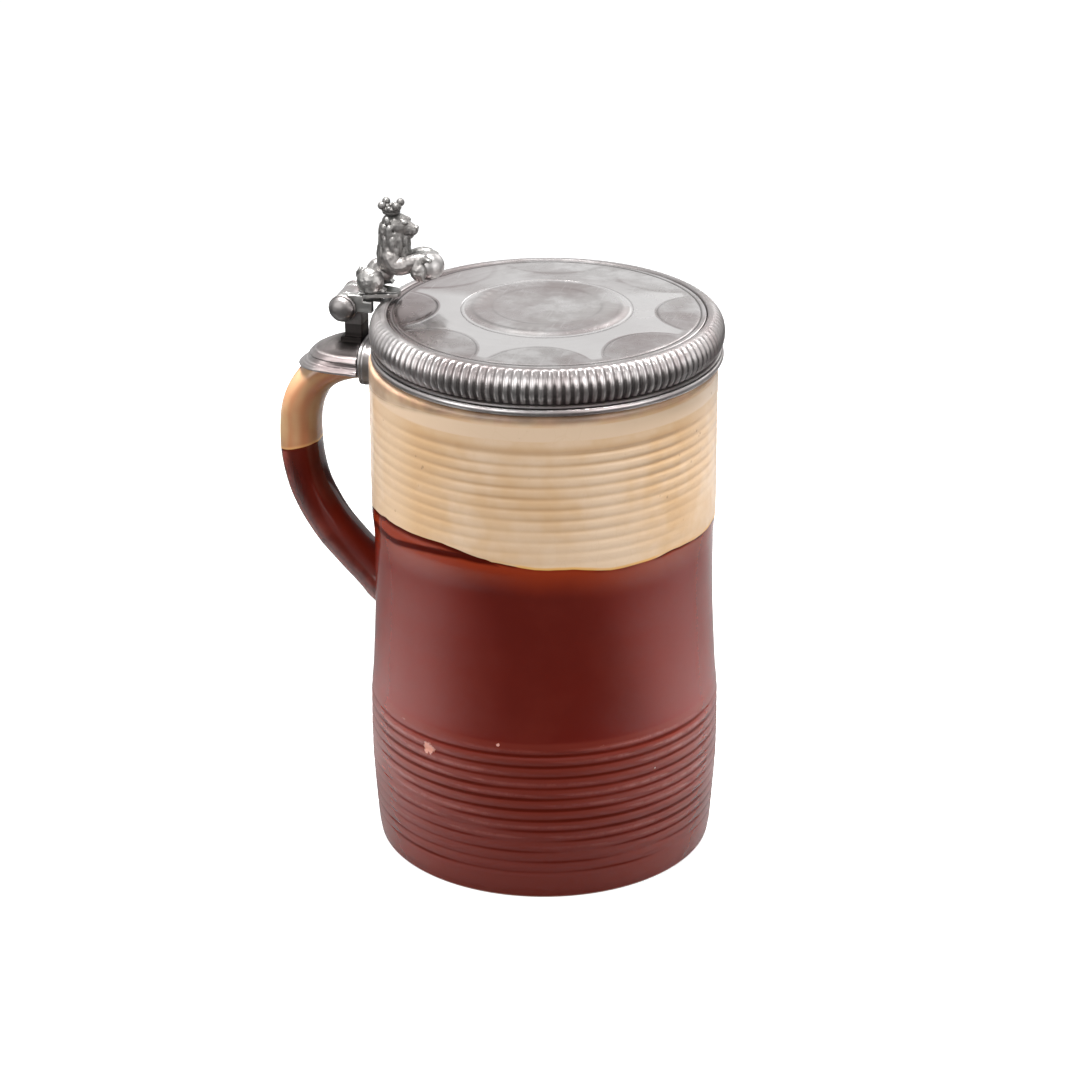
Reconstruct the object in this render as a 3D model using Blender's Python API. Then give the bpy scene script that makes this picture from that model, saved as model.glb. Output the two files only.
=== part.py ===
"""Lidded tankard: a thrown pot with a pulled handle, a pewter cap on the handle and a hinged pewter lid.

The pot's axis is Z, its base stands on z = 0 and the handle points along -X. Lengths are metres.
"""

import math

import bmesh
import bpy
from mathutils import Matrix, Vector

MM = 0.001

# Fits between neighbouring pieces
SEAT_GAP = 0.3 * MM
PIN_CLEARANCE = 0.3 * MM
KNUCKLE_GAP = 0.3 * MM

# Facets of round pieces
TURNED_STEPS = 40
SMALL_STEPS = 20
ARC_STEPS = 6
DOME_END = 15

# Pot
POT_RADIUS = 55.2 * MM
POT_HEIGHT = 165.2 * MM
POT_WALL = 5.4 * MM
POT_FLOOR = 8.0 * MM
FLOOR_FILLET = 7.0 * MM
LIP_ROUND = 1.8 * MM
FOOT_ROUND = 1.6 * MM
WAIST_INSET = 0.8 * MM
WAIST_DROP = 55.0 * MM
BELLY_SWELL = 1.6 * MM
BELLY_HEIGHT = 38.0 * MM
BELLY_SPREAD = 30.0 * MM
SHOULDER_HEIGHT = 58.6 * MM
SHOULDER_SLOPE = 19.0 * MM

# Throwing ribs, upper ones counted down from the lip and lower ones up from the base
UPPER_RIBS = 11
UPPER_RIB_PITCH = 3.6 * MM
UPPER_RIB_DEPTH = 0.5 * MM
UPPER_RIB_DROP = 11.0 * MM
LOWER_RIBS = 12
LOWER_RIB_PITCH = 3.8 * MM
LOWER_RIB_DEPTH = 0.7 * MM
LOWER_RIB_START = 8.0 * MM

# Pulled handle, with heights of its middle line
HANDLE_TOP_DROP = 6.6 * MM
HANDLE_REACH = 26.2 * MM
HANDLE_BELLY_DROP = 34.0 * MM
HANDLE_LOW_HEIGHT = 79.0 * MM
HANDLE_ROOT_DEPTH = 4.0 * MM
HANDLE_TOP_SECTION = (8.6 * MM, 5.2 * MM)
HANDLE_BELLY_SECTION = (8.5 * MM, 7.0 * MM)
HANDLE_LOW_SECTION = (8.6 * MM, 6.4 * MM)
HANDLE_KNEE_PULL = (0.7, 0.68)
HANDLE_LOW_PULL = (0.66, 0.33)
HANDLE_BELLY_PULL = 0.42
HANDLE_RINGS = 14
HANDLE_SIDES = 20
HANDLE_SQUARENESS = 2.3

# Pewter on the handle
CAP_WALL = 1.6 * MM
CAP_RIM_DROP = 11.6 * MM
CAP_RIM_SLOPE = 0.2
CAP_BEAD = 0.6 * MM
CAP_BEAD_HEIGHT = 2.4 * MM
BAND_WALL = 2.2 * MM
BAND_WIDTH = 2.8 * MM

# Lid
LID_OFFSET = 1.2 * MM
COLLAR_OVERHANG = 0.4 * MM
COLLAR_HEIGHT = 3.2 * MM
BEZEL_CLEARANCE = 2.0 * MM
BEZEL_WALL = 2.0 * MM
BEZEL_DEPTH = 4.6 * MM
RIM_OVERHANG = 1.3 * MM
RIM_HEIGHT = 10.6 * MM
RIM_BULGE = 4.4 * MM
RIM_BULGE_HEIGHT = 6.0 * MM
RIM_FOOT_TURN = math.asin(4.6 / 6.0)
RIM_WIDTH = 6.2 * MM
RIM_WALL = 2.0 * MM
PLATE_THICKNESS = 2.2 * MM
DOME_RISE = 1.6 * MM
PLATE_EDGE_RISE = 0.2 * MM
GROOVE_INSET = 1.7 * MM
GROOVE_WIDTH = 1.0 * MM
GROOVE_DEPTH = 0.4 * MM
MEDALLION_RADIUS = 27.0 * MM
MEDALLION_INSET = 1.0 * MM
MEDALLION_PROUD = 0.3 * MM

# Hinge
HINGE_STANDOFF = 8.5 * MM
BARREL_RADIUS = 4.2 * MM
PIN_RADIUS = 1.2 * MM
PIN_HEAD_RADIUS = 4.5 * MM
PIN_HEAD_HEIGHT = 3.6 * MM
LUG_WIDTH = 7.4 * MM
LUG_HEEL = 0.6 * MM
LEAF_KNUCKLE_WIDTH = 2.6 * MM
TONGUE_LENGTH = 20.5 * MM
TONGUE_THICKNESS = 2.0 * MM
TONGUE_LIFT = 0.8 * MM
TONGUE_PROUD = 1.0 * MM

# Thumbpiece figure, measured inwards from the hinge axis and up from the tongue
LION_THIGH = (8.4 * MM, 3.4 * MM)
LION_HIP = (11.8 * MM, 5.4 * MM)
LION_LOIN = (15.4 * MM, 8.2 * MM)
LION_SHOULDER = (16.0 * MM, 14.6 * MM)
LION_HEAD = (16.8 * MM, 21.0 * MM)
LION_MUZZLE = (21.8 * MM, 20.4 * MM)
LION_TOE = (13.4 * MM, 1.1 * MM)
LION_BODY_RADIUS = 4.9 * MM
LION_THIGH_RADIUS = 4.2 * MM
LION_HEAD_RADIUS = 4.6 * MM
LION_MUZZLE_RADIUS = 2.0 * MM
LION_FOOT_RADIUS = 1.2 * MM
LION_ARM_RADIUS = 1.9 * MM
LION_LEG_SPREAD = 4.0 * MM
LION_ARM_SPREAD = 3.0 * MM
LION_ARM_RISE = 0.4
BALL_PLACE = (27.0 * MM, 8.5 * MM)
BALL_RADIUS = 4.6 * MM
CROWN_BACK = 2.2 * MM
CROWN_RADIUS = 2.8 * MM
CROWN_BAND = 1.6 * MM
CROWN_WALL = 0.9 * MM
CROWN_HEIGHT = 4.2 * MM
CROWN_LEAN = 0.8 * MM
CROWN_PRONGS = 4
CROWN_PEARL = 0.8 * MM
CROWN_SEAT_DROP = 0.9 * MM

# Places worked out from the sizes above
MOUTH_RADIUS = POT_RADIUS - POT_WALL
WAIST_RADIUS = POT_RADIUS - WAIST_INSET
WAIST_FOOT_Z = SHOULDER_HEIGHT + SHOULDER_SLOPE
LID_SEAT_Z = POT_HEIGHT + SEAT_GAP
LID_RADIUS = POT_RADIUS + RIM_OVERHANG
RIM_Z = LID_SEAT_Z + COLLAR_HEIGHT + SEAT_GAP
RIM_TOP_Z = RIM_Z + RIM_HEIGHT
RIM_INNER_RADIUS = LID_RADIUS - RIM_WIDTH
PLATE_RADIUS = RIM_INNER_RADIUS - SEAT_GAP
LID_TOP_Z = RIM_TOP_Z + PLATE_EDGE_RISE + DOME_RISE
HINGE_X = -(LID_RADIUS - LID_OFFSET + HINGE_STANDOFF)
TONGUE_Z = RIM_TOP_Z + TONGUE_LIFT
TONGUE_TOP_Z = TONGUE_Z + TONGUE_THICKNESS
HINGE_Z = TONGUE_TOP_Z - TONGUE_PROUD - BARREL_RADIUS
FIGURE_Z = TONGUE_TOP_Z + SEAT_GAP
CROWN_Z = FIGURE_Z + LION_HEAD[1] + LION_HEAD_RADIUS - CROWN_SEAT_DROP + SEAT_GAP
HANDLE_TOP_Z = POT_HEIGHT - HANDLE_TOP_DROP
HANDLE_BELLY_Z = POT_HEIGHT - HANDLE_BELLY_DROP
CAP_RIM_Z = POT_HEIGHT - CAP_RIM_DROP
CAP_START = POT_RADIUS + SEAT_GAP + BAND_WIDTH + SEAT_GAP
LUG_HALF = LUG_WIDTH / 2
LEAF_INNER = LUG_HALF + KNUCKLE_GAP
LEAF_OUTER = LEAF_INNER + LEAF_KNUCKLE_WIDTH
TONGUE_WIDTH = 2 * LEAF_OUTER
BORE_RADIUS = PIN_RADIUS + PIN_CLEARANCE
FAR = 4 * POT_RADIUS

CREAM_GLAZE = ("cream_glaze", (0.62, 0.42, 0.22), 0.2, 0.0)
BROWN_GLAZE = ("brown_glaze", (0.12, 0.012, 0.005), 0.15, 0.0)
PEWTER = ("pewter", (0.42, 0.40, 0.39), 0.35, 1.0)
DARK_PEWTER = ("dark_pewter", (0.22, 0.21, 0.20), 0.4, 1.0)


def clear_scene():
    for obj in list(bpy.data.objects):
        bpy.data.objects.remove(obj)


def material(name, colour, roughness, metallic):
    """A Principled material, made once and shared by the pieces that have that finish."""
    made = bpy.data.materials.get(name)
    if made:
        return made
    made = bpy.data.materials.new(name)
    made.use_nodes = True
    shader = made.node_tree.nodes["Principled BSDF"]
    shader.inputs["Base Color"].default_value = (*colour, 1.0)
    shader.inputs["Roughness"].default_value = roughness
    shader.inputs["Metallic"].default_value = metallic
    return made


def object_from(name, mesh):
    obj = bpy.data.objects.new(name, mesh)
    bpy.context.scene.collection.objects.link(obj)
    return obj


def finish(obj, look, parent=None):
    """Gives a piece its material and smooth shading, and hangs it on the empty that moves it."""
    obj.data.materials.append(material(*look))
    obj.data.shade_smooth()
    obj.data.set_sharp_from_angle(angle=math.radians(35))
    if parent:
        obj.parent = parent
        obj.matrix_parent_inverse = parent.matrix_world.inverted()
    return obj


def helper(obj):
    """Marks an object that only cuts or joins others."""
    obj.hide_render = True
    obj.display_type = "WIRE"
    return obj


def boolean(obj, operation, other):
    modifier = obj.modifiers.new(f"{operation.lower()}_{other.name}", "BOOLEAN")
    modifier.operation = operation
    modifier.object = helper(other)
    return obj


def turned(name, profile, steps=TURNED_STEPS, centre_x=0.0):
    """A turned solid. The (radius, z) points run down its outer side, from axis to axis or all round."""
    points = [(radius, 0.0, z) for radius, z in profile]
    edges = [(i, i + 1) for i in range(len(points) - 1)]
    if profile[0][0] > 0:
        edges.append((len(points) - 1, 0))
    mesh = bpy.data.meshes.new(name)
    mesh.from_pydata(points, edges, [])
    obj = object_from(name, mesh)
    obj.location.x = centre_x
    screw = obj.modifiers.new("turn", "SCREW")
    screw.steps = steps
    screw.render_steps = steps
    screw.use_merge_vertices = True
    screw.merge_threshold = 0.00001
    return obj


def loft(name, rings):
    """A closed solid through rings that have equal numbers of points."""
    shape = bmesh.new()
    loops = [[shape.verts.new(point) for point in ring] for ring in rings]
    for one, two in zip(loops, loops[1:]):
        for i in range(len(one)):
            after = (i + 1) % len(one)
            shape.faces.new((one[i], one[after], two[after], two[i]))
    shape.faces.new(loops[0])
    shape.faces.new(loops[-1])
    bmesh.ops.recalc_face_normals(shape, faces=shape.faces)
    mesh = bpy.data.meshes.new(name)
    shape.to_mesh(mesh)
    shape.free()
    return object_from(name, mesh)


def block(name, low, high):
    """A box between two corners."""
    x0, y0, z0 = low
    x1, y1, z1 = high
    rings = [[(x0, y0, z), (x1, y0, z), (x1, y1, z), (x0, y1, z)] for z in (z0, z1)]
    return loft(name, rings)


def slab(name, low, high):
    """Everything outwards of the cap's inner end, between two levels that rise with the cap's edge."""
    rings = []
    for x in (-CAP_START, -FAR):
        rise = CAP_RIM_SLOPE * (-x - CAP_START)
        corners = [(-FAR, low), (FAR, low), (FAR, high), (-FAR, high)]
        rings.append([(x, y, z + rise) for y, z in corners])
    return loft(name, rings)


def hinge_ring(radius, y):
    """Points of a circle round the hinge's axis."""
    turns = [2 * math.pi * i / SMALL_STEPS for i in range(SMALL_STEPS)]
    return [(HINGE_X + radius * math.cos(a), y, HINGE_Z + radius * math.sin(a)) for a in turns]


def cross_pin(name, radius, y0, y1):
    """A cylinder on the hinge's axis."""
    return loft(name, [hinge_ring(radius, y0), hinge_ring(radius, y1)])


def blob(name, centre, half_sizes, steps=14):
    """An ellipsoid with its axes along X, Y and Z."""
    shape = bmesh.new()
    bmesh.ops.create_uvsphere(shape, u_segments=steps, v_segments=steps // 2 + 1, radius=1.0)
    place = Matrix.Translation(centre) @ Matrix.Diagonal((*half_sizes, 1.0))
    bmesh.ops.transform(shape, matrix=place, verts=shape.verts)
    mesh = bpy.data.meshes.new(name)
    shape.to_mesh(mesh)
    shape.free()
    return object_from(name, mesh)


def arc(centre, radii, start, end, steps=ARC_STEPS):
    """Points on an ellipse's arc, in degrees from +X. A third radius is the height of its lower half."""
    points = []
    for i in range(steps + 1):
        angle = math.radians(start + (end - start) * i / steps)
        height = radii[1] if angle > 0 else radii[-1]
        points.append((centre[0] + radii[0] * math.cos(angle), centre[1] + height * math.sin(angle)))
    return points


def belly_radius(z):
    """The pot's outer radius in its lower ribbed zone, between the foot and the shoulder."""
    return POT_RADIUS + BELLY_SWELL * (1 - ((z - BELLY_HEIGHT) / BELLY_SPREAD) ** 2)


def ribs(count, top, pitch, depth, radius_at):
    """Crests and hollows of throwing ribs, from the top one down."""
    points = []
    for i in range(count):
        crest = top - i * pitch
        hollow = crest - pitch / 2
        points += [(radius_at(crest), crest), (radius_at(hollow) - depth, hollow)]
    return points


def pot_outline():
    """The pot's half section, from the middle of its floor up inside, over the lip and down outside."""
    inner, outer = MOUTH_RADIUS, POT_RADIUS
    rise = POT_HEIGHT - LIP_ROUND
    upper_top = POT_HEIGHT - UPPER_RIB_DROP
    lower_top = LOWER_RIB_START + LOWER_RIBS * LOWER_RIB_PITCH
    lip = (LIP_ROUND, LIP_ROUND)
    floor_fillet = arc((inner - FLOOR_FILLET, POT_FLOOR + FLOOR_FILLET), (FLOOR_FILLET, FLOOR_FILLET), -90, 0)
    outline = [(0.0, POT_FLOOR)] + floor_fillet
    outline += arc((inner + LIP_ROUND, rise), lip, 180, 90) + arc((outer - LIP_ROUND, rise), lip, 90, 0)
    outline += ribs(UPPER_RIBS, upper_top, UPPER_RIB_PITCH, UPPER_RIB_DEPTH, lambda z: outer)
    outline += [(WAIST_RADIUS, POT_HEIGHT - WAIST_DROP), (WAIST_RADIUS, WAIST_FOOT_Z)]
    outline.append((outer, SHOULDER_HEIGHT))
    outline += ribs(LOWER_RIBS, lower_top, LOWER_RIB_PITCH, LOWER_RIB_DEPTH, belly_radius)
    foot_radius = belly_radius(FOOT_ROUND)
    outline += arc((foot_radius - FOOT_ROUND, FOOT_ROUND), (FOOT_ROUND, FOOT_ROUND), 0, -90)
    return outline + [(0.0, 0.0)]


def pot_plug(name):
    """The room that the pot takes up where other pieces meet it, with the seat's gap."""
    upper, waist = POT_RADIUS + SEAT_GAP, WAIST_RADIUS + SEAT_GAP
    knee = POT_HEIGHT - WAIST_DROP
    profile = [(0.0, POT_HEIGHT + FAR), (upper, POT_HEIGHT + FAR), (upper, knee + WAIST_INSET)]
    profile += [(waist, knee), (waist, WAIST_FOOT_Z), (upper, SHOULDER_HEIGHT), (upper, -FAR), (0.0, -FAR)]
    return turned(name, profile)


def make_pot():
    return finish(turned("pot_body", pot_outline()), BROWN_GLAZE)


def bezier(points, t):
    """Point and direction at t on a cubic curve."""
    a, b, c, d = points
    s = 1 - t
    point = a * s**3 + b * 3 * s * s * t + c * 3 * s * t * t + d * t**3
    return point, ((b - a) * s * s + (c - b) * 2 * s * t + (d - c) * t * t).normalized()


def handle_stations():
    """Places along the handle's middle line: (point, direction, half width, half thickness)."""
    start = Vector((-(POT_RADIUS - HANDLE_ROOT_DEPTH), 0, HANDLE_TOP_Z))
    belly = Vector((-(POT_RADIUS + HANDLE_REACH), 0, HANDLE_BELLY_Z))
    end = Vector((-(WAIST_RADIUS - HANDLE_ROOT_DEPTH), 0, HANDLE_LOW_HEIGHT))
    across = start.x - belly.x
    upper_fall = start.z - belly.z
    lower_fall = belly.z - end.z
    knee_out, knee_up = HANDLE_KNEE_PULL
    low_out, low_up = HANDLE_LOW_PULL
    knee = (start - Vector((knee_out * across, 0, 0)), belly + Vector((0, 0, knee_up * upper_fall)))
    below = belly - Vector((0, 0, HANDLE_BELLY_PULL * lower_fall))
    upper = (start, *knee, belly)
    lower = (belly, below, end + Vector((-low_out * across, 0, low_up * lower_fall)), end)
    sections = (HANDLE_TOP_SECTION, HANDLE_BELLY_SECTION, HANDLE_LOW_SECTION)
    stations = []
    for part, curve in enumerate((upper, lower)):
        for i in range(HANDLE_RINGS + part):
            t = i / HANDLE_RINGS
            point, along = bezier(curve, t)
            first, second = sections[part], sections[part + 1]
            wide, thick = (first[k] + (second[k] - first[k]) * t for k in (0, 1))
            stations.append((point, along, wide, thick))
    return stations


def bar(name, stations, grow=0.0):
    """A rounded bar along the stations, grown outwards all round."""
    power = 2 / HANDLE_SQUARENESS
    rings = []
    for point, along, wide, thick in stations:
        outward = along.cross(Vector((0, 1, 0)))
        ring = []
        for i in range(HANDLE_SIDES):
            angle = 2 * math.pi * i / HANDLE_SIDES
            across = math.copysign(abs(math.cos(angle)) ** power, math.cos(angle)) * (wide + grow)
            out = math.copysign(abs(math.sin(angle)) ** power, math.sin(angle)) * (thick + grow)
            ring.append(point + Vector((0, across, 0)) + outward * out)
        rings.append(ring)
    return loft(name, rings)


def make_handle(stations):
    handle = bar("pulled_handle", stations)
    boolean(handle, "DIFFERENCE", pot_plug("handle_seat"))
    return finish(handle, CREAM_GLAZE)


def make_root_band(stations):
    """Band round the handle's upper root, from the pot's wall to the cap."""
    near = stations[: HANDLE_RINGS // 2]
    band = bar("root_band", near, SEAT_GAP + BAND_WALL)
    edge = CAP_START - SEAT_GAP
    boolean(band, "INTERSECT", block("band_span", (-edge, -FAR, 0), (0, FAR, FAR)))
    boolean(band, "DIFFERENCE", pot_plug("band_pot_seat"))
    boolean(band, "DIFFERENCE", bar("band_handle_seat", stations, SEAT_GAP))
    return finish(band, PEWTER)


def make_handle_cap(stations):
    """Hood over the handle's knee, with a bead along its edge and the post that ends in the hinge's lug."""
    cap = bar("handle_cap", stations, SEAT_GAP + CAP_WALL)
    boolean(cap, "INTERSECT", slab("cap_span", CAP_RIM_Z, CAP_RIM_Z + FAR))
    bead = bar("cap_bead", stations, SEAT_GAP + CAP_WALL + CAP_BEAD)
    boolean(bead, "INTERSECT", slab("bead_span", CAP_RIM_Z, CAP_RIM_Z + CAP_BEAD_HEIGHT))
    boolean(cap, "UNION", bead)
    lug_foot = HANDLE_TOP_Z + HANDLE_TOP_SECTION[1] + SEAT_GAP + CAP_WALL / 2
    lug_back = HINGE_X - LUG_HEEL
    boolean(cap, "UNION", block("lug_stem", (lug_back, -LUG_HALF, lug_foot), (-CAP_START, LUG_HALF, HINGE_Z)))
    boolean(cap, "UNION", cross_pin("lug_barrel", BARREL_RADIUS, -LUG_HALF, LUG_HALF))
    boolean(cap, "DIFFERENCE", bar("cap_handle_seat", stations, SEAT_GAP))
    boolean(cap, "DIFFERENCE", cross_pin("lug_bore", BORE_RADIUS, -FAR, FAR))
    return finish(cap, PEWTER)


def make_hinge_pin():
    """Pin through the knuckles, with a domed head outside each of the leaf's two."""
    head = LEAF_OUTER + SEAT_GAP
    dome = arc((head, 0.0), (PIN_HEAD_HEIGHT, PIN_HEAD_RADIUS), 90, DOME_END)
    stops = [(-y, radius) for y, radius in reversed(dome)] + [(-head, PIN_RADIUS), (head, PIN_RADIUS)] + dome
    return finish(loft("hinge_pin", [hinge_ring(radius, y) for y, radius in stops]), PEWTER)


def dome_z(radius):
    """Height of the lid plate's top at a radius from the lid's middle."""
    return LID_TOP_Z - DOME_RISE * (radius / PLATE_RADIUS) ** 2


def make_lid_plate(parent):
    seat_radius = MEDALLION_RADIUS + SEAT_GAP
    seat_z = LID_TOP_Z - MEDALLION_INSET - SEAT_GAP
    groove = PLATE_RADIUS - GROOVE_INSET
    half = GROOVE_WIDTH / 2
    profile = [(0.0, seat_z), (seat_radius, seat_z), (seat_radius, dome_z(seat_radius))]
    for radius, drop in ((groove - half, 0), (groove, GROOVE_DEPTH), (groove + half, 0), (PLATE_RADIUS, 0)):
        profile.append((radius, dome_z(radius) - drop))
    for radius in (PLATE_RADIUS, seat_radius, 0.0):
        profile.append((radius, dome_z(radius) - PLATE_THICKNESS))
    return finish(turned("lid_plate", profile, centre_x=LID_OFFSET), PEWTER, parent)


def make_gadroon_rim(parent):
    """Hollow convex moulding, open below, that the collar closes."""
    centre = (LID_RADIUS - RIM_BULGE, RIM_TOP_Z - RIM_BULGE_HEIGHT)
    foot = -math.degrees(RIM_FOOT_TURN)
    radii = (RIM_BULGE, RIM_BULGE_HEIGHT, (RIM_HEIGHT - RIM_BULGE_HEIGHT) / math.sin(RIM_FOOT_TURN))
    outer = arc(centre, radii, 90, foot)
    inner = arc(centre, [radius - RIM_WALL for radius in radii], foot, 90)
    profile = outer + [(inner[0][0], RIM_Z)] + inner
    profile += [(RIM_INNER_RADIUS, RIM_TOP_Z - RIM_WALL), (RIM_INNER_RADIUS, RIM_TOP_Z)]
    return finish(turned("gadroon_rim", profile, centre_x=LID_OFFSET), DARK_PEWTER, parent)


def make_lid_collar(parent):
    """Plain band on the pot's lip, with the bezel that drops into the mouth."""
    outer = POT_RADIUS + COLLAR_OVERHANG
    bezel = MOUTH_RADIUS - BEZEL_CLEARANCE
    hollow = bezel - BEZEL_WALL
    top, seat, low = LID_SEAT_Z + COLLAR_HEIGHT, LID_SEAT_Z, LID_SEAT_Z - BEZEL_DEPTH
    profile = [(outer, top), (outer, seat), (bezel, seat), (bezel, low), (hollow, low), (hollow, top)]
    return finish(turned("lid_collar", profile, centre_x=LID_OFFSET), PEWTER, parent)


def make_medallion(parent):
    top, low = LID_TOP_Z + MEDALLION_PROUD, LID_TOP_Z - MEDALLION_INSET
    profile = [(0.0, top), (MEDALLION_RADIUS, top), (MEDALLION_RADIUS, low), (0.0, low)]
    return finish(turned("lid_medallion", profile, centre_x=LID_OFFSET), PEWTER, parent)


def make_hinge_leaf(parent):
    """The lid's half of the hinge: a tongue over the rim, with a knuckle on each side of the cap's lug."""
    half = TONGUE_WIDTH / 2
    tip = HINGE_X + TONGUE_LENGTH - half
    outline = [(HINGE_X, half), (HINGE_X, -half)]
    outline += [(tip + x, y) for x, y in arc((0.0, 0.0), (half, half), -90, 90, 2 * ARC_STEPS)]
    leaf = loft("hinge_leaf", [[(x, y, z) for x, y in outline] for z in (TONGUE_Z, TONGUE_TOP_Z)])
    for side, word in ((-1, "near"), (1, "far")):
        y0, y1 = sorted((side * LEAF_INNER, side * LEAF_OUTER))
        boolean(leaf, "UNION", cross_pin(f"knuckle_{word}", BARREL_RADIUS, y0, y1))
    room = BARREL_RADIUS + KNUCKLE_GAP
    boolean(leaf, "DIFFERENCE", cross_pin("lug_room", room, -LEAF_INNER, LEAF_INNER))
    boolean(leaf, "DIFFERENCE", cross_pin("leaf_bore", BORE_RADIUS, -FAR, FAR))
    return finish(leaf, PEWTER, parent)


def figure_point(place, y=0.0):
    """A point of the thumbpiece from its place inwards of the hinge and above the tongue."""
    return Vector((HINGE_X + place[0], y, FIGURE_Z + place[1]))


def limb(name, start, end, radius, steps=12):
    """A round limb between two points, with domed ends."""
    middle, run = (start + end) / 2, end - start
    shape = bmesh.new()
    bmesh.ops.create_uvsphere(shape, u_segments=steps, v_segments=steps // 2 + 2, radius=1.0)
    turn = Vector((0, 0, 1)).rotation_difference(run).to_matrix().to_4x4()
    size = Matrix.Diagonal((radius, radius, run.length / 2 + radius, 1.0))
    bmesh.ops.transform(shape, matrix=Matrix.Translation(middle) @ turn @ size, verts=shape.verts)
    mesh = bpy.data.meshes.new(name)
    shape.to_mesh(mesh)
    shape.free()
    return object_from(name, mesh)


def make_lion(parent):
    """Seated lion that looks over the lid, with its forepaws on the ball."""
    shoulder, head, ball = figure_point(LION_SHOULDER), figure_point(LION_HEAD), figure_point(BALL_PLACE)
    lion = limb("lion", figure_point(LION_LOIN), shoulder, LION_BODY_RADIUS)
    boolean(lion, "UNION", limb("hips", figure_point(LION_HIP), figure_point(LION_LOIN), LION_THIGH_RADIUS))
    boolean(lion, "UNION", blob("mane", (shoulder + head) / 2, [LION_BODY_RADIUS] * 3))
    boolean(lion, "UNION", blob("head", head, [LION_HEAD_RADIUS] * 3))
    boolean(lion, "UNION", limb("muzzle", head, figure_point(LION_MUZZLE), LION_MUZZLE_RADIUS))
    for side, word in ((-1, "near"), (1, "far")):
        thigh = figure_point(LION_THIGH, side * LION_LEG_SPREAD)
        heel = figure_point((LION_THIGH[0], LION_TOE[1]), side * LION_LEG_SPREAD)
        toe = figure_point(LION_TOE, side * LION_LEG_SPREAD)
        boolean(lion, "UNION", blob(f"thigh_{word}", thigh, [LION_THIGH_RADIUS] * 3))
        boolean(lion, "UNION", limb(f"hind_foot_{word}", heel, toe, LION_FOOT_RADIUS))
        arm = Vector((0, side * LION_ARM_SPREAD, 0))
        root = figure_point(LION_LOIN).lerp(shoulder, LION_ARM_RISE) + arm
        paw = ball + Vector((0, 0, BALL_RADIUS / 3)) + arm
        boolean(lion, "UNION", limb(f"foreleg_{word}", root, paw, LION_ARM_RADIUS))
    boolean(lion, "DIFFERENCE", blob("ball_seat", ball, [BALL_RADIUS + SEAT_GAP] * 3, steps=20))
    boolean(lion, "DIFFERENCE", block("lion_floor", (-FAR, -FAR, FIGURE_Z - FAR), (FAR, FAR, FIGURE_Z)))
    boolean(lion, "DIFFERENCE", block("crown_seat", (-FAR, -FAR, CROWN_Z - SEAT_GAP), (FAR, FAR, FAR)))
    return finish(lion, PEWTER, parent)


def make_crown(parent):
    """Open crown: a flared band with pearls on prongs, set on the flat top of the lion's head."""
    top = CROWN_Z + CROWN_BAND
    inner = CROWN_RADIUS - CROWN_WALL
    profile = [(0.0, CROWN_Z + CROWN_WALL), (inner, CROWN_Z + CROWN_WALL), (inner + CROWN_LEAN, top)]
    profile += [(CROWN_RADIUS + CROWN_LEAN, top), (CROWN_RADIUS, CROWN_Z), (0.0, CROWN_Z)]
    centre_x = figure_point(LION_HEAD).x - CROWN_BACK
    crown = turned("lion_crown", profile, SMALL_STEPS, centre_x)
    for i in range(CROWN_PRONGS):
        angle = 2 * math.pi * (i + 0.5) / CROWN_PRONGS
        ray = Vector((math.cos(angle), math.sin(angle), 0))
        foot = Vector((centre_x, 0, top - CROWN_WALL)) + ray * (CROWN_RADIUS - CROWN_WALL / 2 + CROWN_LEAN)
        tip = foot + ray * CROWN_LEAN
        tip.z = CROWN_Z + CROWN_HEIGHT - CROWN_PEARL
        boolean(crown, "UNION", limb(f"prong_{i}", foot, tip, CROWN_WALL / 2, 8))
        boolean(crown, "UNION", blob(f"pearl_{i}", tip, [CROWN_PEARL] * 3, steps=8))
    return finish(crown, PEWTER, parent)


def make_ball(parent):
    return finish(blob("lion_ball", figure_point(BALL_PLACE), [BALL_RADIUS] * 3, steps=20), PEWTER, parent)


def make_lid_hinge():
    """Empty on the hinge's axis that carries every piece of the lid."""
    hinge = object_from("lid_hinge", None)
    hinge.location = (HINGE_X, 0, HINGE_Z)
    bpy.context.view_layer.update()
    return hinge


def main():
    clear_scene()
    stations = handle_stations()
    make_pot()
    make_handle(stations)
    make_root_band(stations)
    make_handle_cap(stations)
    make_hinge_pin()
    hinge = make_lid_hinge()
    for make in (make_lid_plate, make_gadroon_rim, make_lid_collar, make_medallion):
        make(hinge)
    for make in (make_hinge_leaf, make_lion, make_crown, make_ball):
        make(hinge)


main()
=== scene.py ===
"""Lidded tankard: an add-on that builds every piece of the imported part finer, glazes it and lights it.

Lengths are metres in the part's own frame: the pot stands on z = 0, its handle points along -X.
"""

import math

import bmesh
import bpy
import numpy as np
from bpy.props import FloatProperty, FloatVectorProperty, IntProperty, PointerProperty
from mathutils import Matrix, Vector, noise


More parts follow.
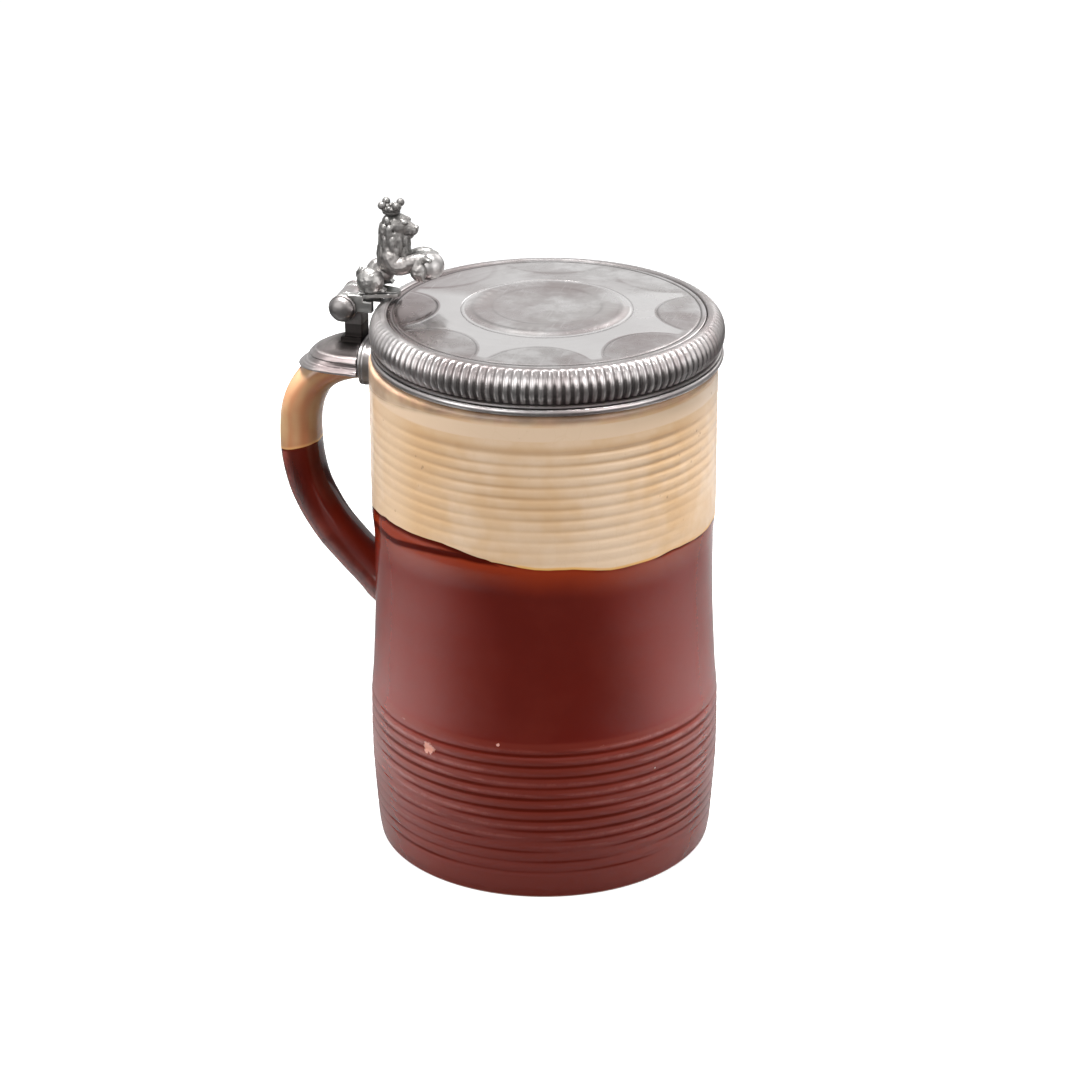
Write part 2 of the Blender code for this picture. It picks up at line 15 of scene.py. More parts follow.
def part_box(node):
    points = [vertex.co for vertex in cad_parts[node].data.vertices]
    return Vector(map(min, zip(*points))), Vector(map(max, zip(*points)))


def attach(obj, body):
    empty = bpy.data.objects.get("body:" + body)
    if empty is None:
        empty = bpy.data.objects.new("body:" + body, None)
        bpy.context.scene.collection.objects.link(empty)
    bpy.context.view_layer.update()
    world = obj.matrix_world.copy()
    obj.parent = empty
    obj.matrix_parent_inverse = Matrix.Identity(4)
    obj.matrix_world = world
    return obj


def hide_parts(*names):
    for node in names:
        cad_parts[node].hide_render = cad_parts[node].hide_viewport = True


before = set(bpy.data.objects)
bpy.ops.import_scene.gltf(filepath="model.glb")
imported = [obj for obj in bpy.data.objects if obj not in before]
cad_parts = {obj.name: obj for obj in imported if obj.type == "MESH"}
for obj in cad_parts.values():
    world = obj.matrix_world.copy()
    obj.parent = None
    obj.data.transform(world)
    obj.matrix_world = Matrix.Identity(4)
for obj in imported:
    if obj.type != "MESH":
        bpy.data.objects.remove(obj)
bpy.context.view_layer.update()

bl_info = {
    "name": "Lidded Tankard",
    "version": (1, 0, 0),
    "blender": (4, 5, 0),
    "location": "View3D > Sidebar > Tankard",
    "description": "Builds a glazed tankard with a hinged pewter lid and a lion thumbpiece",
    "category": "Add Mesh",
}

MM = 0.001
LIP_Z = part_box("pot_body")[1].z
LID_LOW, LID_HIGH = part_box("gadroon_rim")
LID_X = (LID_LOW.x + LID_HIGH.x) / 2
LID_RADIUS = (LID_HIGH.x - LID_LOW.x) / 2
PLATE_LOW, PLATE_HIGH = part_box("lid_plate")
PLATE_RADIUS = (PLATE_HIGH.x - PLATE_LOW.x) / 2
ROSETTE_LOW, ROSETTE_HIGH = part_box("lid_medallion")
COLLAR_LOW, COLLAR_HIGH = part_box("lid_collar")
PIN_LOW, PIN_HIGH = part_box("hinge_pin")
HINGE = (PIN_LOW + PIN_HIGH) / 2
LEAF_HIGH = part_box("hinge_leaf")[1]
LION_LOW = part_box("lion")[0]
CROWN_LOW, CROWN_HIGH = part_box("lion_crown")
BALL_LOW, BALL_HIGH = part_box("lion_ball")
KNUCKLE = 4.2 * MM
FRONT = math.radians(15.0)


def length(name, text, default, low=0.0):
    """A size in metres that a panel shows in millimetres or metres."""
    return FloatProperty(name=name, description=text, default=default, min=low, precision=5, unit="LENGTH")


def share(name, text, default):
    """A plain number from 0 to 1."""
    return FloatProperty(name=name, description=text, default=default, min=0.0, max=1.0, subtype="FACTOR")


def count(name, text, default, low=1):
    """A whole number."""
    return IntProperty(name=name, description=text, default=default, min=low)


def tilt(name, text, degrees):
    """An angle, given in degrees."""
    return FloatProperty(name=name, description=text, default=math.radians(degrees), subtype="ANGLE")


def power(name, text, default):
    """The power of a lamp in watts."""
    return FloatProperty(name=name, description=text, default=default, unit="POWER")


def colour(name, text, default):
    """A colour that hides what is under it."""
    opaque = (*default, 1.0)
    return FloatVectorProperty(
        name=name, description=text, default=opaque, size=4, min=0.0, max=1.0, subtype="COLOR"
    )


class TANKARD_PG_pot(bpy.types.PropertyGroup):
    """Sizes of the pot"""

    steps: count("Steps", "Facets round the pot", 420, 24)
    row: length("Row", "Height of one row of faces in the ribbed zones", 0.45 * MM, 0.1 * MM)
    wall: length("Wall", "Thickness of the wall", 5.4 * MM)
    floor: length("Floor", "Thickness of the floor", 8.0 * MM)
    lip: length("Lip", "Rounding of the lip", 1.8 * MM)
    foot: length("Foot", "Rounding of the foot", 1.6 * MM)
    upper_ribs: count("Upper ribs", "Throwing lines under the lip", 11)
    upper_pitch: length("Upper pitch", "Step between the upper lines", 3.6 * MM)
    upper_depth: length("Upper depth", "Depth of the upper lines", 0.36 * MM)
    upper_drop: length("Upper drop", "First upper line below the lip", 12.4 * MM)
    lower_ribs: count("Lower ribs", "Throwing ribs above the foot", 12)
    lower_pitch: length("Lower pitch", "Step between the lower ribs", 3.8 * MM)
    lower_depth: length("Lower depth", "Depth of the lower ribs", 0.2 * MM)
    lower_start: length("Lower start", "Lowest hollow above the base", 9.9 * MM)
    wobble: length("Wobble", "Unevenness of the thrown wall", 0.07 * MM)


class TANKARD_PG_handle(bpy.types.PropertyGroup):
    """Sizes of the handle and of the pewter on it"""

    sides: count("Sides", "Facets round the handle", 56, 12)
    rings: count("Rings", "Rings along each half of the handle", 56, 8)
    squareness: FloatProperty(name="Squareness", description="2 is an ellipse", default=2.3, min=1.5)
    flare: length("Flare", "Spread of the clay where the lower root meets the pot", 0.9 * MM)
    wobble: length("Wobble", "Unevenness of the pulled clay", 0.22 * MM)
    glaze_line: length("Glaze line", "Height of the cream glaze's edge on the handle", 126.5 * MM)
    cast_grain: length("Cast grain", "Cell of the remeshed pewter pieces on the handle", 0.22 * MM, 0.1 * MM)


class TANKARD_PG_lid(bpy.types.PropertyGroup):
    """Sizes of the lid"""

    ribs: count("Gadroons", "Ribs round the rim", 126, 12)
    rib_steps: count("Rib steps", "Facets across one rib", 12, 4)
    rib_depth: length("Rib depth", "Depth between two ribs", 0.8 * MM)
    steps: count("Steps", "Facets round the plate", 720, 24)
    scallops: count("Scallops", "Raised scallops round the plate", 8)
    scallop_apex: length("Scallop apex", "Inner end of a scallop, from the lid's middle", 34.3 * MM)
    scallop_end: length("Scallop end", "Outer corners of a scallop, from the lid's middle", 45.2 * MM)
    scallop_rise: length("Scallop rise", "Height of a scallop", 0.15 * MM)
    groove: length("Groove", "Radius of the turned groove", 48.3 * MM)
    relief: length("Relief", "Height of the rosette", 0.3 * MM)
    petals: count("Petals", "Petals of the rosette", 8)


class TANKARD_PG_figure(bpy.types.PropertyGroup):
    """Sizes of the thumbpiece"""

    grain: length("Grain", "Cell of the remeshed cast figure", 0.17 * MM, 0.1 * MM)
    locks: count("Locks", "Locks in one row of the mane", 11)
    rows: count("Rows", "Rows of locks in the mane", 3)
    prongs: count("Prongs", "Prongs of the crown", 4)


class TANKARD_PG_colours(bpy.types.PropertyGroup):
    """Colours of the glazes and of the pewter"""

    cream: colour("Cream", "Upper glaze", (0.6, 0.39, 0.215))
    cream_pale: colour("Pale cream", "Upper glaze where it is thick", (0.68, 0.51, 0.36))
    # Ochre, also used for painted shade in a band under the lip.
    ochre: colour("Ochre", "Upper glaze pooled in the lines", (0.42, 0.235, 0.1))
    brown: colour("Brown", "Lower glaze where it is thick", (0.09, 0.0045, 0.001))
    # Painted light: the lower glaze's colour towards the sides.
    brown_lit_side: colour("Thin brown", "Lower glaze where it is thin", (0.15, 0.014, 0.008))
    brown_worn: colour("Worn brown", "Lower glaze rubbed on the ribs", (0.145, 0.021, 0.012))
    # Rubbed brown, also used for painted highlights on the lower ribs and on the handle.
    brown_rubbed_and_highlight: colour("Rubbed brown", "Lower glaze broken on the ribs' crests", (0.235, 0.054, 0.04))
    # Deep brown, also used for painted shade on the handle's inner side.
    brown_deep: colour("Deep brown", "Lower glaze pooled at its edge and in hollows", (0.055, 0.004, 0.0015))
    brown_glow: colour("Brown glow", "Lower glaze thinned by the upper one", (0.26, 0.027, 0.004))
    amber: colour("Amber", "Where the upper glaze runs thin over the lower one", (0.68, 0.38, 0.11))
    # Soil, also used for painted shade under the collar and for the glaze's specks.
    soil_and_shade: colour("Soil", "Dirt under the collar", (0.12, 0.065, 0.035))
    handle_cream: colour("Handle cream", "Upper glaze, thin on the handle", (0.28, 0.135, 0.068))
    handle_streak: colour("Handle streaks", "Brown runs in the handle's upper glaze", (0.27, 0.088, 0.036))
    handle_pale: colour("Handle pale", "Upper glaze, thick on the handle", (0.37, 0.235, 0.12))
    handle_brown: colour("Handle brown", "Lower glaze on the handle", (0.034, 0.0023, 0.0009))
    clay: colour("Clay", "Bare fired clay", (0.6, 0.29, 0.22))
    lid: colour("Lid", "Clean pewter of the lid", (0.655, 0.64, 0.636))
    lid_dull: colour("Dull lid", "Dull pewter of the lid", (0.345, 0.325, 0.318))
    pewter: colour("Pewter", "Clean pewter of the mounts and the figure", (0.33, 0.315, 0.31))
    pewter_dull: colour("Dull pewter", "Dull pewter of the mounts and the figure", (0.18, 0.165, 0.162))
    figure: colour("Figure", "Clean pewter of the thumbpiece", (0.275, 0.271, 0.263))
    figure_dull: colour("Dull figure", "Dull pewter of the thumbpiece", (0.168, 0.165, 0.158))
    rim: colour("Rim", "Clean pewter of the rim and the collar", (0.41, 0.391, 0.387))
    rim_dull: colour("Dull rim", "Dull pewter of the rim and the collar", (0.265, 0.243, 0.239))
    # Tarnish colour, also used for painted shade wherever the soot mark lays it.
    tarnish_and_shade: colour("Tarnish", "Dirt in the hollows of the pewter", (0.02, 0.017, 0.016))
    # Stain colour, also used for painted shade on the rim's lower left part.
    stain: colour("Stain", "Brown-violet stain on the pewter", (0.2, 0.15, 0.147))


class TANKARD_PG_stage(bpy.types.PropertyGroup):
    """Camera, lamps and floor"""

    lens: FloatProperty(name="Lens", description="Focal length", default=114.33, min=1.0, unit="CAMERA")
    distance: length("Distance", "Camera to the pot's axis, along the floor", 1.0143)
    height: length("Height", "Camera above the floor", 0.5406)
    aside: length("Aside", "Camera to the right of the axis", -1.28 * MM, -1.0)
    pitch: tilt("Pitch", "Camera's look below the horizon", 23.418)
    roll: tilt("Roll", "Camera's roll", -0.196)
    floor_size: length("Floor", "Width of the floor", 6.0)
    key_power: power("Key lamps", "Softboxes before the pot", 6.9)
    wash_power: power("Wash lamps", "Lamps on the floor beside it", 1.35)
    top_power: power("Top lamp", "Softbox overhead", 3.4)
    back_power: power("Back lamp", "Softbox behind the pot", 6.0)
    ambient: share("Ambient", "Level of the room's light", 0.3)


class TANKARD_PG_all(bpy.types.PropertyGroup):
    """Everything that the panel shows"""

    pot: PointerProperty(type=TANKARD_PG_pot)
    handle: PointerProperty(type=TANKARD_PG_handle)
    lid: PointerProperty(type=TANKARD_PG_lid)
    figure: PointerProperty(type=TANKARD_PG_figure)
    colours: PointerProperty(type=TANKARD_PG_colours)
    stage: PointerProperty(type=TANKARD_PG_stage)


# Small helpers for curves and unevenness


def smooth_step(value, low, high):
    """0 below low, 1 above high, with a soft change between."""
    t = np.clip((np.asarray(value, float) - low) / (high - low), 0.0, 1.0)
    return t * t * (3 - 2 * t)


def grows(value, low, high):
    """A soft change from 0 to 1 between two lengths in millimetres."""
    return smooth_step(value, low * MM, high * MM)


def fades(value, low, high):
    """A soft change from 1 to 0 between two lengths in millimetres."""
    return 1 - grows(value, low, high)


def hill(value, middle, width):
    """A soft hill: 1 at the middle, with its sides spread over the width."""
    return np.exp(-(((value - middle) / width) ** 2))


def even_turns(steps):
    """Angles spaced evenly round a circle."""
    return np.linspace(0, 2 * math.pi, steps, endpoint=False)


def turned_from(angle, place):
    """Angle from a place on a circle, between -pi and pi."""
    return (angle - place + math.pi) % (2 * math.pi) - math.pi


def facing(angle):
    """Angle round the axis from the side that the camera sees, positive to its right."""
    return turned_from(angle, FRONT - math.pi / 2)


def wander(angle, seed, waves=9):
    """An even, closed ripple round a circle, between about -1 and 1."""
    phases = np.random.default_rng(seed).uniform(0, 2 * math.pi, waves)
    return sum(np.sin((k + 1) * angle + phases[k]) / (k + 1) ** 0.6 for k in range(waves)) / 2.4


def through(knots, where, spread):
    """A curve through (place, value) knots, rounded over the spread."""
    stops, values = zip(*knots)
    offsets = np.linspace(-1.0, 1.0, 9)
    weights = np.exp(-2 * offsets**2)
    total = sum(w * np.interp(where + o * spread, stops, values) for w, o in zip(weights, offsets))
    return total / weights.sum()


# Meshes


def piece(name, points, faces, sharp=None):
    """An object from points and faces, shaded smooth but for edges sharper than the angle."""
    mesh = bpy.data.meshes.new(name)
    mesh.from_pydata(np.asarray(points).reshape(-1, 3).tolist(), [], faces)
    mesh.validate()
    mesh.shade_smooth()
    if sharp is not None:
        mesh.set_sharp_from_angle(angle=math.radians(sharp))
    obj = bpy.data.objects.new(name, mesh)
    bpy.context.scene.collection.objects.link(obj)
    return obj


def ring_faces(rows, steps, loop):
    """Faces between rows of points that go round, with the last row joined to the first if looped."""
    row, step = np.meshgrid(np.arange(rows if loop else rows - 1), np.arange(steps), indexing="ij")
    one, two = row * steps, (row + 1) % rows * steps
    after = (step + 1) % steps
    return np.stack([one + step, one + after, two + after, two + step], -1).reshape(-1, 4).tolist()


def turned(name, radii, heights, centre_x=0.0, loop=False, sharp=None):
    """A turned piece from radii and heights, with a row for each place down its outline."""
    radii, heights = np.broadcast_arrays(radii, heights)
    rows, steps = radii.shape
    angle = even_turns(steps)
    points = np.stack([centre_x + radii * np.cos(angle), radii * np.sin(angle), heights], -1).reshape(-1, 3)
    faces = ring_faces(rows, steps, loop)
    if not loop:
        ends = [[centre_x, 0.0, heights[0].mean()], [centre_x, 0.0, heights[-1].mean()]]
        points = np.concatenate([points, ends])
        first, last, base = rows * steps, rows * steps + 1, (rows - 1) * steps
        for i in range(steps):
            after = (i + 1) % steps
            faces += [(first, after, i), (last, base + i, base + after)]
    return piece(name, points, faces, sharp)


def column(*values):
    """A column of numbers, one for each row of rings."""
    return np.array(values)[:, None]


def arc(centre_r, centre_z, radius, first, last, number):
    """Radii and heights of a rounding, from one angle in degrees to another."""
    turn = np.radians(np.linspace(first, last, number))[:, None]
    return centre_r + radius * np.cos(turn), centre_z + radius * np.sin(turn)


def ring_rows(steps, blocks):
    """Stacks blocks of rings, each a set of numbers or arrays that is widened to all its rows and steps."""
    wide = [np.broadcast_arrays(*block, np.zeros((1, steps)))[:-1] for block in blocks]
    return [np.concatenate(rows) for rows in zip(*wide)]


def mark(obj, name, values):
    """A number for each point, for the materials to read. Points at the axis take the last one."""
    values = np.asarray(values, np.float32).ravel()
    missing = len(obj.data.vertices) - len(values)
    values = np.concatenate([values, np.full(missing, values[-1], np.float32)])
    obj.data.attributes.new(name, "FLOAT", "POINT").data.foreach_set("value", values)


def places(obj):
    """The x, the y and the z of every point."""
    return np.array([v.co for v in obj.data.vertices]).T


def mark_all(obj, name, value):
    """The same number for every point."""
    mark(obj, name, np.full(len(obj.data.vertices), value))


def mark_hollows(obj, rounds, reach):
    """Marks each point from 0 on a crest over 0.5 on a plain face to 1 in a hollow."""
    mesh = obj.data
    points = np.empty(len(mesh.vertices) * 3, np.float32)
    normals = np.empty_like(points)
    ends = np.empty(len(mesh.edges) * 2, np.int32)
    mesh.vertices.foreach_get("co", points)
    mesh.vertices.foreach_get("normal", normals)
    mesh.edges.foreach_get("vertices", ends)
    points, normals, ends = points.reshape(-1, 3), normals.reshape(-1, 3), ends.reshape(-1, 2)
    here = np.concatenate([ends[:, 0], ends[:, 1]])
    there = np.concatenate([ends[:, 1], ends[:, 0]])
    around = np.bincount(here, minlength=len(points))[:, None]
    soft = points.astype(float)
    for _ in range(rounds):
        sums = [np.bincount(here, soft[there, k], len(points)) for k in range(3)]
        soft = np.stack(sums, 1) / around
    mark(obj, "hollow", np.clip(0.5 + 0.5 * ((soft - points) * normals).sum(1) / reach, 0, 1))


def egg(centre, half_sizes, lean=0.0, steps=24):
    """Points and faces of an ellipsoid, leant about Y by an angle in degrees."""
    shape = bmesh.new()
    bmesh.ops.create_uvsphere(shape, u_segments=steps, v_segments=steps // 2, radius=1.0)
    size = Matrix.Rotation(math.radians(lean), 4, "Y") @ Matrix.Diagonal((*half_sizes, 1.0))
    return bare(shape, Matrix.Translation(centre) @ size)


def bare(shape, place=None):
    """The points and faces of a bmesh, which is freed."""
    if place is not None:
        bmesh.ops.transform(shape, matrix=place, verts=shape.verts)
    shape.verts.index_update()
    points = [tuple(v.co) for v in shape.verts]
    faces = [[v.index for v in f.verts] for f in shape.faces]
    shape.free()
    return points, faces


def tube(path, radii):
    """Points and faces of a round limb along a path, with its own radius at each point and domed ends."""
    path = [Vector(p) for p in path]
    stops = []
    for i, (point, radius) in enumerate(zip(path, radii)):
        along = (path[min(i + 1, len(path) - 1)] - path[max(i - 1, 0)]).normalized()
        ends = []
        if i in (0, len(path) - 1):
            side = -1 if i == 0 else 1
            ends = [(side * math.sin(a) * radius, math.cos(a) * radius) for a in (0.0, 0.5, 0.95, 1.3, 1.5)]
            ends = ends[::-1] if i == 0 else ends
        for shift, r in ends or [(0.0, radius)]:
            stops.append((point + along * shift, along, r))
    steps = 16
    turns = [2 * math.pi * k / steps for k in range(steps)]
    rings = []
    for point, along, radius in stops:
        side = along.cross(Vector((0, 1, 0.01))).normalized()
        up = along.cross(side)
        rings.append([tuple(point + (side * math.cos(a) + up * math.sin(a)) * radius) for a in turns])
    points = [p for ring in rings for p in ring]
    last = (len(rings) - 1) * steps
    caps = [list(range(steps))[::-1], list(range(last, last + steps))]
    return points, ring_faces(len(rings), steps, False) + caps


def slab(outline, low, high):
    """Points and faces of an upright block over a plan outline, from low to high."""
    size = len(outline)
    points = [(x, y, z) for z in (low, high) for x, y in outline]
    sides = [(i, (i + 1) % size, size + (i + 1) % size, size + i) for i in range(size)]
    return points, sides + [tuple(range(size))[::-1], tuple(range(size, 2 * size))]


def oblong(x0, x1, y0, y1):
    """Corners of an oblong in plan."""
    return [(x0, y0), (x1, y0), (x1, y1), (x0, y1)]


def knuckle(y0, y1):
    """Points and faces of a hinge knuckle between two places along the pin."""
    ring = [(HINGE.x + KNUCKLE * math.cos(a), HINGE.z + KNUCKLE * math.sin(a)) for a in even_turns(40)]
    points, faces = slab(ring, y0, y1)
    return [(x, y, z) for x, z, y in points], faces


def joined(lumps):
    """All lumps as one list of points and one of faces."""
    points, faces = [], []
    for more, ends in lumps:
        faces += [[len(points) + i for i in face] for face in ends]
        points += list(more)
    return points, faces


def cast(name, lumps, grain, rounds):
    """One skin round overlapping lumps, as if they were cast together, with softened edges."""
    obj = piece(name, *joined(lumps))
    flow = obj.modifiers.new("flow", "REMESH")
    flow.mode = "VOXEL"
    flow.voxel_size = grain
    soften = obj.modifiers.new("soften", "SMOOTH")
    soften.factor = 0.5
    soften.iterations = rounds
    bpy.context.view_layer.update()
    skin = bpy.data.meshes.new_from_object(obj.evaluated_get(bpy.context.evaluated_depsgraph_get()))
    obj.modifiers.clear()
    old, obj.data = obj.data, skin
    bpy.data.meshes.remove(old)
    skin.name = name
    skin.shade_smooth()
    return obj


def roughen(obj, depth, size, seed):
    """Moves each point along its normal by a soft ripple of the given size."""
    shift = Vector((seed, 2.3 * seed, 0.7 * seed))
    normals = [v.normal.copy() for v in obj.data.vertices]
    for vertex, normal in zip(obj.data.vertices, normals):
        vertex.co += normal * depth * noise.noise(vertex.co / size + shift)
    obj.data.update()


def seat(obj, body, node, material):
    """Hangs a finished piece on its body, in place of its node, with its material."""
    obj.data.materials.clear()
    obj.data.materials.append(material)
    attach(obj, body)
    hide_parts(node)


# Materials


class Wiring:
    """Adds nodes to one tree and links them."""

    def __init__(self, tree):
        self.tree = tree
        tree.nodes.clear()

    def add(self, kind, inputs=None, out=0, **settings):
        """A new node with its inputs fed: one of its outputs, or the node itself if it has none."""
        node = self.tree.nodes.new("ShaderNode" + kind)
        node.location = (210 * (len(self.tree.nodes) % 12), -260 * (len(self.tree.nodes) // 12))
        for key, value in settings.items():
            setattr(node, key, value)
        for key, value in (inputs or {}).items():
            self.feed(node.inputs[key], value)
        return node.outputs[out] if node.outputs else node

    def feed(self, socket, value):
        """Links an output to the socket, or sets a plain value on it."""
        if isinstance(value, bpy.types.NodeSocket):
            self.tree.links.new(value, socket)
        else:
            socket.default_value = value

    def math(self, operation, first, second=0.0):
        """One sum on one or two numbers."""
        return self.add("Math", {0: first, 1: second}, operation=operation)

    def times(self, first, second):
        """The product of two numbers."""
        return self.math("MULTIPLY", first, second)

    def most(self, *values):
        """The largest of several numbers."""
        largest = values[0]
        for value in values[1:]:
            largest = self.math("MAXIMUM", largest, value)
        return largest

    def blend(self, factor, first, second):
        """The first colour at factor 0, the second at factor 1."""
        return self.add("Mix", {0: factor, 6: first, 7: second}, out=2, data_type="RGBA")

    def coats(self, base, *layers):
        """A base colour under layers, each a factor and a colour."""
        for factor, tone in layers:
            base = self.blend(factor, base, tone)
        return base

    def spread(self, value, low, high, to_low=0.0, to_high=1.0):
        """A number taken softly from one range to another."""
        ends = {0: value, 1: low, 2: high, 3: to_low, 4: to_high}
        return self.add("MapRange", ends, interpolation_type="SMOOTHSTEP")

    def noise(self, place, scale, detail, roughness=0.55):
        """Soft noise between about 0 and 1."""
        look = {"Scale": scale, "Detail": detail, "Roughness": roughness}
        return self.add("TexNoise", {"Vector": place, **look})

    def place(self):
        """The piece's own coordinates."""
        return self.add("TexCoord", out=3)

    def number(self, name):
        """A number that is marked on the mesh."""
        return self.add("Attribute", out=2, attribute_name=name)

    def group(self, tree, place):
        """The outputs of a node group that is fed with a place."""
        node = self.tree.nodes.new("ShaderNodeGroup")
        node.node_tree = tree
        self.feed(node.inputs["Place"], place)
        return node.outputs

    def surface(self, shader):
        """The shader as the material's surface."""
        self.add("OutputMaterial", {"Surface": shader})


def new_group(name):
    """An empty node group that is fed with a place: its tree, its wiring and that place."""
    tree = bpy.data.node_groups.new(name, "ShaderNodeTree")
    wires = Wiring(tree)
    tree.interface.new_socket(name="Place", in_out="INPUT", socket_type="NodeSocketVector")
    return tree, wires, tree.nodes.new("NodeGroupInput").outputs["Place"]


def close_group(tree, wires, results):
    """Gives the group an output for each named result."""
    for label in results:
        tree.interface.new_socket(name=label, in_out="OUTPUT", socket_type="NodeSocketFloat")
    end = tree.nodes.new("NodeGroupOutput")
    for label, socket in results.items():
        wires.feed(end.inputs[label], socket)
    return tree


def glaze_group():
    """Clouding, fine cracks, specks and the skin's unevenness, shared by both glazes."""
    found = bpy.data.node_groups.get("Glaze skin")
    if found:
        return found
    tree, wires, place = new_group("Glaze skin")
    cloud = wires.noise(place, 28.0, 4.0, 0.6)
    mottle = wires.noise(place, 210.0, 4.0, 0.65)
    stretched = wires.add("Mapping", {"Vector": place, "Scale": (1.0, 1.0, 0.8)})
    cells = wires.add("TexVoronoi", {"Vector": stretched, "Scale": 190.0}, feature="DISTANCE_TO_EDGE")
    cracks = wires.times(wires.spread(cells, 0.0, 0.035, 1.0, 0.0), wires.spread(cloud, 0.42, 0.62))
    dots = wires.add("TexVoronoi", {"Vector": place, "Scale": 330.0})
    chosen = wires.spread(wires.noise(place, 95.0, 2.0), 0.6, 0.66)
    specks = wires.times(wires.spread(dots, 0.1, 0.2, 1.0, 0.0), chosen)
    fine = wires.noise(place, 900.0, 2.0)
    height = wires.math("ADD", wires.times(mottle, 0.6), wires.times(fine, 0.12))
    results = {"Cloud": cloud, "Mottle": mottle, "Cracks": cracks, "Specks": specks, "Height": height}
    return close_group(tree, wires, results)


def pewter_group():
    """Clouded skin, stains, scratches and dents of old pewter."""
    found = bpy.data.node_groups.get("Old pewter")
    if found:
        return found
    tree, wires, place = new_group("Old pewter")
    cloud = wires.noise(place, 70.0, 5.0, 0.62)
    stain = wires.spread(wires.noise(place, 32.0, 3.0), 0.45, 0.68)
    scratches = []
    for turn, scale in ((0.4, (900.0, 60.0, 300.0)), (-0.9, (70.0, 1100.0, 300.0))):
        laid = wires.add("Mapping", {"Vector": place, "Rotation": (0.0, 0.0, turn), "Scale": scale})
        scratches.append(wires.spread(wires.noise(laid, 1.0, 2.0), 0.64, 0.72))
    both = wires.most(*scratches)
    dents = wires.noise(place, 140.0, 2.0)
    pits = wires.spread(wires.noise(place, 900.0, 2.0), 0.62, 0.75, 0.0, -0.25)
    height = wires.math("ADD", wires.math("ADD", dents, pits), wires.times(both, -0.06))
    results = {"Cloud": cloud, "Stain": stain, "Scratches": both, "Height": height}
    return close_group(tree, wires, results)


def new_material(name):
    """A material of that name with an emptied node tree, and its wiring."""
    found = bpy.data.materials.get(name) or bpy.data.materials.new(name)
    found.use_nodes = True
    return found, Wiring(found.node_tree)


def pewter_material(name, colours, clean, dull, rough, stained=0.55, bump=0.12):
    """Old pewter: bright on crests, dull and stained on faces, dark in hollows and where painted shade is
    marked.
    """
    material, wires = new_material(name)
    skin = wires.group(pewter_group(), wires.place())
    hollow = wires.number("hollow")
    cloud = wires.spread(skin["Cloud"], 0.35, 0.65)
    mottled = wires.most(wires.times(skin["Stain"], stained), wires.number("stain"))
    # Darkening from the hollows and from the soot mark, which carries real soiling and painted shade.
    dirt_and_shade = wires.most(wires.spread(hollow, 0.56, 0.8), wires.number("soot_and_shade"))
    base = wires.coats(
        clean,
        (wires.spread(cloud, 0.0, 1.0, 0.3, 0.88), dull),
        (mottled, colours.stain),
        (wires.spread(hollow, 0.45, 0.2, 0.0, 0.8), clean),
        (wires.times(skin["Scratches"], 0.2), clean),
        (dirt_and_shade, colours.tarnish_and_shade),
    )
    roughness = wires.math("ADD", wires.spread(cloud, 0.0, 1.0, *rough), wires.times(dirt_and_shade, 0.25))
    normal = wires.add("Bump", {"Strength": bump, "Distance": 0.0012, "Height": skin["Height"]})
    inputs = {"Base Color": base, "Metallic": 1.0, "Roughness": roughness, "Normal": normal}
    wires.surface(wires.add("BsdfPrincipled", inputs))
    return material


